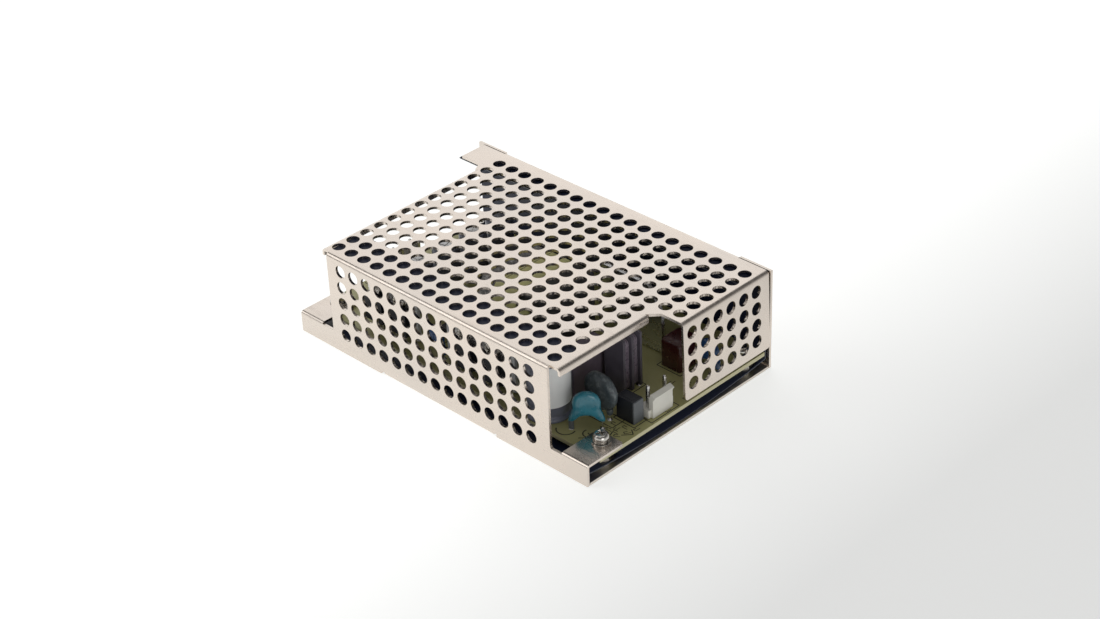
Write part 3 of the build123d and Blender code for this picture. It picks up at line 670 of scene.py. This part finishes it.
def board():
    """Circuit board with its pads and generic printed outlines and marks."""
    bm = bmesh.new()
    holes = [circle(SCREW_HOLE, 24, x, y) for x, y, seat in FIXINGS]
    slab(bm, rectangle(-BOARD_X, BOARD_X, BOARD_Y0, BOARD_Y1), holes, BOARD_UNDER, BOARD_TOP)
    pad = circle(3.5), [circle(SCREW_HOLE + 0.02, 24)[::-1]]
    for x, y, seat in FIXINGS:
        for z in (BOARD_TOP + 0.01, BOARD_UNDER - 0.01):
            panel(bm, *pad, lambda u, v: (x + u, y + v, z), mat=2)
    for ends in ((55.6, 64.6, -18.8, -12.6), (59.2, 67.0, -13.0, 0.2),
                 (44.0, 59.4, -23.4, -17.6), (45.8, 56.2, 12.9, 24.2), (41.2, 50.9, -8.9, 2.0),
                 (-66.8, -58.4, -16.6, 8.6), (30.9, 40.3, -21.0, -1.8),
                 (-21.0, -17.0, -26.0, -14.0)):
        corners = rectangle(*ends)
        stroke(bm, corners + corners[:1])
    for points, width in ((arc(57.4, -27.0, 4.0, -120, 30, 12), 0.45),
                          (arc(56.0, -30.4, 2.2, 160, 330, 10), 0.45),
                          (arc(48.6, -33.6, 3.2, -150, 20, 12), 0.45),
                          (arc(59.0, -30.2, 2.6, 100, 250, 10), 0.4),
                          ([(55.0, -34.6), (60.4, -29.4), (61.2, -30.4)], 0.4),
                          ([(64.2, -24.4), (66.8, -21.6), (64.6, -20.0)], 0.4)):
        stroke(bm, points, width)
    for x, y, turn in ((58.2, -21.2, 0), (60.6, -22.6, 90), (62.4, -20.4, 0), (64.6, -22.0, 60),
                       (63.4, -25.4, 30), (61.8, -24.2, 0), (65.6, -18.6, 90), (57.0, -24.8, 60),
                       (59.4, -24.6, 0), (66.0, -4.2, 90), (66.2, 4.4, 0), (65.6, 8.0, 90),
                       (58.0, 5.2, 0), (61.4, 11.8, 0), (-57.0, -20.0, 0), (-56.0, 12.0, 90),
                       (-64.0, 16.0, 0), (-62.0, 22.0, 90), (63.9, 14.6, 90), (56.4, 8.6, 90)):
        c, s = cos(radians(turn)), sin(radians(turn))
        for mark in (((-1.1, -0.5), (1.1, -0.5)), ((-1.1, 0.5), (0.2, 0.5)),
                     ((-1.1, -0.5), (-1.1, 0.5))):
            stroke(bm, [(x + c * u - s * v, y + s * u + c * v) for u, v in mark], 0.3)
    piece("board", bm, [laminate, ink, solder], "circuit_board", 0.12, 1, weld=WELD)


# Screws, washers and headers


def pan_screw(bm, place, length):
    """Pan-head screw with a cross recess, its head standing on local Z = 0."""
    flat = HEAD * 0.72
    lathe(bm, [(THREAD, 0), (HEAD * 0.97, 0), (HEAD, 0.15), (HEAD, HEAD_TALL * 0.38),
               (HEAD * 0.96, HEAD_TALL * 0.66), (HEAD * 0.86, HEAD_TALL * 0.87),
               (flat, HEAD_TALL)], place, 32)
    arm, half, floor = HEAD * 0.58, 0.42, HEAD_TALL - 1.2
    cross = [(arm, -half), (arm, half), (half, half), (half, arm), (-half, arm), (-half, half),
             (-arm, half), (-arm, -half), (-half, -half), (-half, -arm), (half, -arm),
             (half, -half)]
    panel(bm, circle(flat), [cross], lambda u, v: place @ Vector((u, v, HEAD_TALL)))
    narrow = level([(u * 0.72, v * 0.72) for u, v in cross], floor, place)
    band(bm, verts(bm, level(cross, HEAD_TALL, place)), verts(bm, narrow))
    patch(bm, narrow)
    teeth = [(THREAD, 0.0)]
    z = 0.0
    while z > THREAD_PITCH - length:
        teeth += [(THREAD, z - 0.2), (THREAD - 0.27, z - 0.45)]
        z -= THREAD_PITCH
    lathe(bm, teeth + [(THREAD - 0.4, -length), (0, -length)], place, 20)


def corner_fixings():
    screws, springs, flats = bmesh.new(), bmesh.new(), bmesh.new()
    steps = 44
    for (x, y, seat), turn in zip(FIXINGS, (38, 12, 64, 80)):
        pan_screw(screws, at(x, y, seat + 1.4, turn), 6.0)
        slab(flats, circle(3.2, 40), [circle(SCREW_HOLE, 40)], seat, seat + WASHER, at(x, y, 0))
        loops = []
        for k in range(steps + 1):
            a = radians(8 + 344 * k / steps)
            low = seat + WASHER + 0.14 * (k / steps - 0.5)
            loops.append([(x + r * cos(a), y + r * sin(a), low + z)
                          for r, z in rectangle(1.72, 2.8, 0.08, 0.84)])
        loft(springs, loops)
    piece("corner_screw_heads", screws, [nickel], "corner_screws", 0.06,
          weld=0.001)
    piece("split_washers", springs, [nickel], "spring_washers", 0.1)
    piece("plain_washers", flats, [nickel], "flat_washers", 0.07, weld=0.001)


def header(name, x, y, turn, positions, pins):
    """Wire-to-board header with a hooked locking wall and round-tipped pins."""
    row = (positions - 1) * HEADER_PITCH / 2
    half, lock, base = row + 1.95, row + 0.75, 3.2
    place = at(x, y, BOARD_TOP, turn)
    bm = bmesh.new()
    block(bm, -2.9, 2.0, -half, half, 0.25, base, place=place)
    for k in range(positions):
        v = k * HEADER_PITCH - row
        block(bm, -2.6, 1.6, v - 0.9, v + 0.9, 0, 0.4, place=place)
    wall = [(1.6, 0.1), (2.9, 0.1), (2.9, 6.95), (3.55, 7.65), (3.6, 7.85),
            (3.55, 8.1), (2.1, 8.85), (1.85, 8.9), (1.66, 8.8), (1.6, 8.6)]
    slab(bm, wall, [], -lock, lock, place @ upright())
    for v in (0.5 - lock, lock - 0.5):
        block(bm, 1.05, 1.75, v - 0.5, v + 0.5, base - 0.3, 7.6, place=place)
    piece(name + "_shell", bm, [header_white], name + "_housing", 0.16, 3,
          weld=WELD)
    bm = bmesh.new()
    for k in pins:
        v = k * HEADER_PITCH - row
        loft(bm, [level(rounded(-w, w, v - w, v + w, w * 0.42, 3), z, place)
                  for z, w in ((-2.4, 0.30), (-2.0, 0.55), (10.3, 0.57), (10.9, 0.52),
                               (11.25, 0.40), (11.45, 0.22), (11.5, 0.08))])
    piece(name + "_contacts", bm, [tinned], name + "_pins", smooth=50)


# Dipped discs


def dipped_disc(name, node, x, y, turn, size, mat, sleeved=False):
    """Disc dipped in coating that runs down onto its two leads. Its size is its diameter, its
    thickness, the height of its centre and the distance between its leads."""
    diameter, thickness, centre, spacing = size
    r, foot, reach = diameter / 2, centre - diameter * 0.65, spacing / 2
    side = [(0.97 * r * cos(radians(a)), centre + r * sin(radians(a))) for a in (60, 35, 10, -12)]
    side += [(r * 0.96, centre - r * 0.42), (r * 1.05 + 0.15, foot + r * 0.56),
             (reach + 0.75, foot + 0.95), (reach + 0.85, foot - 0.05), (reach + 0.1, foot - 0.35),
             (reach - 0.75, foot + 0.2), (reach * 0.66, foot + r * 0.28),
             (reach * 0.34, foot + r * 0.40)]
    points = [(0, centre + r), *side, (0, foot + r * 0.45), *mirrored(side)]
    place = at(x, y, BOARD_TOP, turn)
    bm = bmesh.new()
    pillow(bm, smooth_loop(points, 4), (0, centre - r * 0.25), thickness, 0.9, place)
    for s in (-1, 1):
        leg = place @ Vector((s * reach, 0, 0))
        lead(bm, leg.x, leg.y, BOARD_TOP + foot + 0.6)
        if sleeved and s < 0:
            lathe(bm, [(0.3, 0.4), (0.88, 0.4), (0.92, foot + 0.2), (0.85, foot + 0.6)],
                  at(leg.x, leg.y), 20, 2)
    piece(name, bm, [mat, tinned, moulded_grey], node, smooth=60)


def surge_disc():
    """Varistor with an uneven rim."""
    x, y, centre, reach, steps = 51.8, -20.4, 9.5, 3.75, 56
    outline = []
    for k in range(steps):
        a = tau * k / steps
        r = 6.88 + 0.10 * sin(3 * a + 0.6) + 0.06 * sin(7 * a)
        outline.append((r * cos(a), centre + r * sin(a)))
    bm = bmesh.new()
    pillow(bm, outline, (0, centre), 3.8, 1.2, at(x, y))
    for u in (x - reach, x + reach):
        lathe(bm, [(0.4, 1.6), (0.95, 2.2), (1.2, 3.2), (1.1, 4.4)], at(u, y), 20)
        lead(bm, u, y, BOARD_TOP + 4.6, 0.4)
    piece("surge_disc", bm, [varistor_dip, tinned], "surge_varistor", smooth=60)


# Cased parts


def cased(name, node, x, y, size, mat, edge, reach):
    """Cast case standing on small feet, with a lead near each end."""
    w, d, h = size
    place, lift, inset = at(x, y), 0.3, 0.9
    bm = bmesh.new()
    loft(bm, [level(rounded(i - w / 2, w / 2 - i, i - d / 2, d / 2 - i, edge), z, place)
              for z, i in ((lift, 0.12), (lift + 0.3, 0.0), (h - edge, 0.0),
                           (h - edge * 0.45, edge * 0.14), (h - edge * 0.12, edge * 0.45),
                           (h, edge))])
    for u in (inset - w / 2, w / 2 - inset):
        for v in (inset - d / 2, d / 2 - inset):
            block(bm, u - 0.5, u + 0.5, v - 0.5, v + 0.5, 0, lift + 0.1, place=place)
    for v in (-reach, reach):
        lead(bm, x, y + v, BOARD_TOP + lift + 0.2)
    piece(name, bm, [mat, tinned], node, smooth=50)


def fuse():
    """Fuse in a black block, with a paler end plate and a raised lid."""
    x, y, w, d, h = 60.0, -15.6, 3.85, 2.4, 8.6
    place = at(x, y)
    bm = bmesh.new()
    block(bm, -w, w - 0.45, -d, d, 0.2, h, place=place)
    block(bm, w - 0.75, w, 0.1 - d, d - 0.1, 0.2, h - 0.1, 1, place)
    block(bm, 0.9 - w, w - 1.6, 0.9 - d, d - 0.9, h - 0.3, h + 0.12, 0, place)
    for u in (-2.54, 2.54):
        lead(bm, x + u, y, BOARD_TOP + 0.5, mat=2)
    piece("fuse_body", bm, [moulded_black, moulded_grey, tinned], "mains_fuse", 0.3, 3)


def wound_choke():
    """Two coils of enamelled wire side by side between bobbin flanges."""
    x, y = 46.0, -3.4
    place = upright(x, y, BOARD_TOP)
    bm = bmesh.new()
    for v in (4.0, 0.0, -4.0):
        slab(bm, rounded(-4.2, 4.2, 0, 21, 0.7), [], v - 0.5, v + 0.5, place, 1)
    slab(bm, rounded(-2.1, 2.1, 1.2, 18.6, 0.5), [], -4.4, 4.4, place, 1)
    turn = rounded(-2.75, 2.75, 0.7, 19.2, 1.4)
    for middle in (2.0, -2.0):
        for k in range(4):
            tube(bm, level(turn, middle - (k - 1.5) * 0.76, place), 0.40, 8, closed=True)
    for u in (-3.2, 3.2):
        for v in (-3.9, 3.9):
            lead(bm, x + u, y + v, BOARD_TOP + 0.6, mat=2)
    piece("wound_choke", bm, [choke_wire, choke_frame, tinned], "common_mode_choke",
          0.1, limit=60)


def wrapped_label(bm, place, r, start, end, z0, z1, mat):
    """Label round a can between two angles, with rounded corners."""
    reach, corner, columns = radians(end - start) * r, 1.2, 40
    rows = []
    for k in range(columns + 1):
        share = k / columns
        near = min(share, 1 - share) * reach
        cut = corner - sqrt(corner ** 2 - (corner - near) ** 2) if near < corner else 0.0
        a = radians(start + (end - start) * share)
        rows.append(verts(bm, [place @ Vector((q * cos(a), q * sin(a), z))
                               for q, z in rectangle(r + 0.02, r + 0.09, z0 + cut, z1 - cut)]))
    for a, b in zip(rows, rows[1:]):
        for m in range(3):
            bm.faces.new([a[m], b[m], b[m + 1], a[m + 1]]).material_index = mat
    for end_row in (rows[0], rows[-1]):
        bm.faces.new(end_row).material_index = mat


def capacitor(name, node, x, y, r, tall, turn, grooved=False, label=None):
    """Sleeved aluminium can with a scored vent, and a groove where it is rolled shut."""
    bung = [(0, 0), (r * 0.55, 0.0), (r * 0.55, 0.25), (r - 1.1, 0.25), (r - 0.95, 0.05)]
    side = [(r - 0.35, 0.05), (r, 0.4)]
    if grooved:
        side += [(r, 1.2), (r - 0.18, 1.5), (r - 0.55, 1.8), (r - 0.68, 2.1), (r - 0.55, 2.4),
                 (r - 0.18, 2.7), (r, 3.0)]
    rim = r - 1.25
    side += [(r, tall - 1.0), (r - 0.12, tall - 0.5), (r - 0.4, tall - 0.15), (r - 0.8, tall),
             (rim, tall), (rim, tall - 0.12)]
    crown = [(rim - 0.05, tall - 0.3), (rim - 0.4, tall - 0.42), (0, tall - 0.42)]
    bm = bmesh.new()
    place = at(x, y, BOARD_TOP, turn)
    lathe(bm, bung + side + crown, place, 64, mats=[2] * 4 + [0] * len(side) + [1] * len(crown))
    leaf = [(rim * 0.09, rim * 0.09), *arc(0, 0, rim * 0.86, 6, 84, 10)]
    for k in range(4):
        slab(bm, leaf, [], tall - 0.5, tall - 0.24, place @ at(0, 0, 0, 90 * k), 1)
    if label:
        wrapped_label(bm, place, r, *label, 3)
    piece(name, bm, [sleeve, can_metal, bung_black, label_grey], node, smooth=40)


# Heatsinks and semiconductors


def angle_sink(name, x0, x1, web_y, reach, hole_xs):
    """Aluminium angle: a drilled web with its top folded over."""
    r, side = SINK_BEND, 1 if reach > 0 else -1
    holes = [circle(SCREW_HOLE, 24, x, TAB_HOLE_Z) for x in hole_xs]
    bm = bmesh.new()
    panel(bm, rectangle(x0, x1, BOARD_TOP + 0.5, SINK_TOP - r), holes,
          lambda u, v: (u, web_y, v))
    fold(bm, (x0, x1), lambda s, a, b: (s, web_y + side * (r - a), SINK_TOP - r + b), r)
    patch(bm, level(rectangle(x0, x1, web_y + side * r, web_y + reach), SINK_TOP))
    made = piece(name + "_angle", bm, [aluminium], name, smooth=30,
                 weld=SHEET_WELD)
    thicken(made, SINK)
    soften(made, 0.15, 2, 50)


def cross_sink():
    """Flat plate across the board for the bridge rectifier, on two tongues."""
    outline = [(14.0, BOARD_TOP + 0.5), (43.0, BOARD_TOP + 0.5), (43.0, 22.6), (42.6, 23.6),
               (37.6, 31.3), (36.6, 32.1), (14.4, 32.1), (14.0, 31.7)]
    bm = bmesh.new()
    slab(bm, outline, [], -20.1, -18.6, upright())
    for x in (18.0, 39.0):
        block(bm, x - 1.0, x + 1.0, 18.95, 19.75, BOARD_TOP - 0.1, BOARD_TOP + 0.8)
    piece("bridge_plate", bm, [plate_aluminium], "bridge_heatsink", 0.14,
          weld=WELD)


def power_package(name, node, x):
    """Power transistor: moulded body, drilled tab behind it and three stepped legs."""
    wide, tall = 5.1, 9.2
    low, high = PACKAGE_Z, PACKAGE_Z + tall
    place, face = upright(x, SINK_Y, PACKAGE_Z), upright(0, SINK_Y)
    bm = bmesh.new()
    slab(bm, rounded(x - wide, x + wide, low, high, 0.35, 2), [], 0.45, 3.1, face)
    slab(bm, rounded(x - wide + 0.25, x + wide - 0.25, low + 0.2, high - 0.2, 0.35, 2), [],
         3.0, 4.55, face)
    slab(bm, circle(0.9, 20), [], 4.5, 4.6, upright(x - 3.4, SINK_Y, low + 7.4))
    side = [(wide - 0.1, 0.6), (wide - 0.1, tall), (wide - 0.8, tall + 0.6),
            (wide - 0.1, tall + 1.2), (wide - 0.1, tall + 5.9), (wide - 0.6, tall + 6.4)]
    slab(bm, side + mirrored(side), [circle(1.75, 28, 0, TAB_HOLE_Z - PACKAGE_Z)], 0.02, 1.3,
         place, 1)
    for k in (-1, 0, 1):
        leg = x + k * 2.54
        block(bm, leg - 0.6, leg + 0.6, SINK_Y - 2.6, SINK_Y - 2.0, PACKAGE_Z - 1.3,
              PACKAGE_Z + 0.1, 1)
        block(bm, leg - 0.38, leg + 0.38, SINK_Y - 2.55, SINK_Y - 2.05, BOARD_TOP - 0.3,
              PACKAGE_Z - 1.2, 1)
    piece(name, bm, [moulded_black, tinned], node, 0.14, weld=WELD)


def sink_fixings():
    screws, nuts = bmesh.new(), bmesh.new()
    for x, turn in zip(PRIMARY_X + SECONDARY_X, (20, 66, 41, 5)):
        pan_screw(screws, upright(x, SINK_Y - 1.3, TAB_HOLE_Z) @ at(0, 0, 0, turn), 5.2)
        slab(nuts, circle(3.17, 6), [circle(1.52, 24)], -3.9, -1.5, upright(x, SINK_Y, TAB_HOLE_Z))
    piece("sink_screws", screws, [nickel], "transistor_screws", 0.06,
          weld=0.001)
    piece("sink_nuts", nuts, [nickel], "transistor_nuts", 0.18, weld=0.001)


def bridge():
    """Bridge rectifier with one cut corner, on four legs."""
    x, back, front = 28.5, -23.65, -20.12
    place = upright(x, 0, PACKAGE_Z)
    bm = bmesh.new()
    slab(bm, [(-10, 0), (10, 0), (10, 15), (-7.6, 15), (-10, 12.6)], [], back, front, place)
    slab(bm, circle(1.1, 24), [], back, back + 0.05, upright(x, 0, PACKAGE_Z + 11.5))
    for k in (-1.5, -0.5, 0.5, 1.5):
        leg = x + k * 5.08
        block(bm, leg - 0.9, leg + 0.9, 21.6, 22.2, PACKAGE_Z - 1.0, PACKAGE_Z + 0.2, 1)
        block(bm, leg - 0.45, leg + 0.45, 21.6, 22.2, BOARD_TOP - 0.3, PACKAGE_Z - 0.9, 1)
    piece("bridge_body", bm, [moulded_black, tinned], "bridge_rectifier", 0.25, 3,
          weld=WELD)


# Transformer, small packages and output choke


def transformer():
    """Ferrite core in two parts, and its winding under bands of tape and foil."""
    x, y = 4.0, -1.0
    z0, z1 = BOARD_TOP + 2.0, BOARD_TOP + 25.8
    outer, inner, deep, split, yoke = 15.0, 10.0, 13.0, BOARD_TOP + 12.4, z1 - 5.6
    place = upright(x, y)
    bm = bmesh.new()
    side = [(inner, yoke), (inner, split), (outer, split), (outer, z1)]
    slab(bm, side + mirrored(side), [], -deep, deep, place)
    for u0, u1 in ((-outer, -inner), (inner, outer)):
        slab(bm, rectangle(u0, u1, z0, split - 0.06), [], -deep, deep, place)
    piece("ferrite_core", bm, [ferrite], "transformer_core", 0.45, 3, weld=WELD)

    bm = bmesh.new()
    wide, along = inner - 0.3, 15.9
    for low, top, grow in ((z0, z0 + 6.4, 0.0), (z0 + 6.4, z0 + 11.8, 0.06),
                           (z0 + 11.8, yoke, 0.0)):
        slab(bm, rounded(x - wide, x + wide, y - along - grow, y + along + grow, 2.4, 6), [],
             low, top - 0.05)
    for end in (-1, 1):
        rail = y + end * 14.2
        slab(bm, rounded(x - wide, x + wide, rail - 1.5, rail + 1.5, 0.4, 2), [],
             BOARD_TOP, z0 - 0.02, mat=1)
        for k in range(5):
            lead(bm, x + (k - 2) * 3.6, y + end * 15.2, z0, 0.4, 2)
    crest, flat = z1 + 0.03, 12.6
    down = [(flat, crest), (13.5, z1 - 1.0), (15.4, yoke + 0.6), (16.05, yoke - 0.6),
            (16.05, z0 + 1.5)]
    for u0, u1, grow, mat in ((-5.6, 4.4, 0.03, 0), (-4.4, 5.6, 0.12, 0), (-11.8, -5.2, 0.0, 4)):
        loops = []
        for p in map(Vector, mirrored(down) + down):
            out = (p - Vector((0, 18.0))).normalized()
            low, high = p + out * grow, p + out * (grow + 0.09)
            loops.append([(x + u, y + q.x, q.y)
                          for u, q in ((u0, low), (u1, low), (u1, high), (u0, high))])
        loft(bm, loops, mat)
    # Thin dark strips on the tape's overlapping edges: painted shade lines.
    for u in (x - 4.43, x + 4.43):
        block(bm, u - 0.10, u + 0.10, y - flat, y + flat, crest + 0.06, crest + 0.20, 3)
    piece("taped_winding", bm, [yellow_tape, moulded_black, tinned, tape_edge_shade, foil],
          "transformer_winding", smooth=40)


def dual_inline(name, node, x, y, size):
    """Moulded package with an index mark and bent pins on both sides."""
    w, d, h = size
    place, parting = at(x, y), 0.8 + (h - 0.8) / 2
    bm = bmesh.new()
    for low, top, inset in ((0.8, parting, 0.0), (parting, h, 0.12)):
        block(bm, inset - w / 2, w / 2 - inset, inset - d / 2, d / 2 - inset, low, top, 0, place)
    slab(bm, circle(0.45, 16), [], h - 0.05, h + 0.02, at(x - w / 2 + 1.1, y + d / 2 - 1.1))
    pins = max(2, int(d / 2.54))
    for side in (-1, 1):
        u = side * (w / 2 + 0.2)
        for k in range(pins):
            v = (k - (pins - 1) / 2) * 2.3
            block(bm, *sorted((u, u - side * 0.7)), v - 0.55, v + 0.55, 1.7, 1.95, 1, place)
            block(bm, u - 0.14, u + 0.14, v - 0.55, v + 0.55, 0.9, 1.95, 1, place)
            block(bm, u - 0.14, u + 0.14, v - 0.26, v + 0.26, -0.1, 1.0, 1, place)
    piece(name, bm, [moulded_black, tinned], node, 0.09)


def drum_choke():
    """Copper wire on a ferrite drum."""
    x, y, r, tall, core = -24.0, 21.0, 8.0, 14.0, 5.4
    bm = bmesh.new()
    lathe(bm, [(0, 0), (r - 0.3, 0), (r, 0.3), (r, 1.7), (r - 0.3, 2.0), (core, 2.0),
               (core, tall - 2.0), (r - 0.3, tall - 2.0), (r, tall - 1.7), (r, tall - 0.3),
               (r - 0.3, tall), (2.2, tall), (1.9, tall - 0.3), (1.9, tall - 3), (0, tall - 3)],
          at(x, y), 56, 1)
    for k in range(9):
        turn = level(circle(core + 0.6, 40, x, y), BOARD_TOP + 2.6 + k * 1.1)
        tube(bm, turn, 0.56, 8, closed=True)
    piece("drum_choke", bm, [enamel, ferrite], "output_choke", smooth=40)


cover()
lining()
board()
corner_fixings()
header("mains_header", 63.0, -6.4, 0, 3, (0, 2))
header("output_header", -62.5, -4.0, 180, 6, range(6))
fuse()
dipped_disc("teal_disc", "safety_disc_capacitor", 53.5, -28.9, 41.0, (9.6, 3.4, 9.5, 10.0),
            teal_dip, sleeved=True)
for name, node, x, y in (("blue_disc_front", "class_y_capacitor_1", 60.5, 22.5),
                         ("blue_disc_middle", "class_y_capacitor_2", -14.0, -31.6)):
    dipped_disc(name, node, x, y, 0.0, (8.5, 3.0, 7.5, 7.5), blue_dip)
surge_disc()
cased("line_filter", "line_filter_capacitor", 35.6, -11.4, (8.0, 18.0, 15.0), brown_case,
      0.7, 7.5)
cased("snubber_film", "snubber_film_capacitor", 51.0, 18.6, (9.0, 10.0, 11.0), red_dip,
      1.5, 3.75)
wound_choke()
capacitor("bulk_can", "bulk_capacitor", 37.4, -30.0, 8.0, 25.0, -20, True, (-30, 45, 6.2, 21.6))
for k in range(4):
    capacitor(f"output_can_{k + 1}", f"output_capacitor_{k + 1}", -40.0, -14.0 + 13.0 * k, 5.0,
              19.0, 17 * k)
angle_sink("primary_heatsink", -9.0, 23.0, SINK_Y, 9.0, PRIMARY_X)
angle_sink("secondary_heatsink", -48.0, -23.5, SINK_Y + SINK, -9.0, SECONDARY_X)
cross_sink()
power_package("switch_package", "switching_transistor", PRIMARY_X[0])
power_package("boost_package", "boost_transistor", PRIMARY_X[1])
for k in (0, 1):
    power_package(f"rectifier_package_{k + 1}", f"output_rectifier_{k + 1}", SECONDARY_X[k])
sink_fixings()
bridge()
transformer()
dual_inline("controller_package", "controller_chip", 27.0, -1.0, (6.4, 9.4, 3.4))
dual_inline("coupler_package", "feedback_coupler", -19.0, -20.0, (6.4, 4.6, 3.5))
drum_choke()


# Frame nodes that stay

for name, material in (("base_plate", plate_metal), ("top_film_strip", black_film),
                       ("threaded_posts", nickel)):
    paint(name, material)
soften(nodes["base_plate"], 0.12, 2, 50)
soften(nodes["threaded_posts"], 0.18)


# Floor, camera and light


def floor_material():
    """Pale ground that glows a little, and less towards +X."""
    look = new_look("floor_pale")
    place = look.node("TexCoord", {})["Object"]
    x = look.node("SeparateXYZ", {0: place})["X"]
    return look.finish({
        "Base Color": (0.60, 0.60, 0.60, 1), "Roughness": 0.9, "Specular IOR Level": 0.1,
        "Emission Color": (0.99, 1.0, 0.985, 1),
        "Emission Strength": look.span(x, 0.76, 0.43, 0.03, 0.15)})


mesh = bpy.data.meshes.new("floor")
mesh.from_pydata([(x, y, 0) for x, y in rectangle(-4, 4, -4, 4)], [], [(0, 1, 2, 3)])
mesh.materials.append(floor_material())
floor = placed("floor", mesh)

# Camera fitted to the photograph's hole pattern: focal length in pixels of its 1100 px width.
FOCAL_PX, PHOTO_PX, SENSOR = 2264.19, 1100, 36
TURN = (2.30870644, 0.64634379, 0.45939560)
CAMERA_AT = (467.638, -449.441, 428.431)
camera = placed("camera", bpy.data.cameras.new("camera"))
camera.data.sensor_width = SENSOR
camera.data.lens = SENSOR * FOCAL_PX / PHOTO_PX
camera.data.clip_start, camera.data.clip_end = 0.01, 20
world_to_camera = Euler(TURN, "XYZ").to_matrix()
facing = world_to_camera.transposed() @ Matrix.Diagonal((1, -1, -1))
camera.matrix_world = Matrix.Translation(Vector(CAMERA_AT) * MM) @ facing.to_4x4()
scene.camera = camera

# Soft surroundings, brighter near the horizon
scene.world = bpy.data.worlds.new("studio")
look = Look(scene.world, "Background")
around = look.node("TexCoord", {})["Generated"]
height = look.node("SeparateXYZ", {0: around})["Z"]
look.finish({"Color": (1.0, 0.99, 0.98, 1),
             "Strength": look.span(height, 0.48, 0.12, 0.10, 0.50)})


def lamp(name, place, size, power):
    """Square lamp of a size in metres, aimed at the middle of the part."""
    data = bpy.data.lights.new(name, "AREA")
    data.size = size
    data.energy = power
    place, aim = Vector(place) * MM, Vector((0, 0, 20)) * MM
    turn = (aim - place).to_track_quat("-Z", "Y")
    placed(name, data).matrix_world = Matrix.LocRotScale(place, turn, None)


lamp("back_left", (-900, 850, 740), 1.2, 4.2)
lamp("front_left", (-800, -720, 800), 0.75, 2.6)
lamp("above", (-20, -40, 1200), 1.6, 4.2)
lamp("front_right", (1100, -520, 230), 0.6, 2.3)

scene.view_settings.view_transform = "Standard"
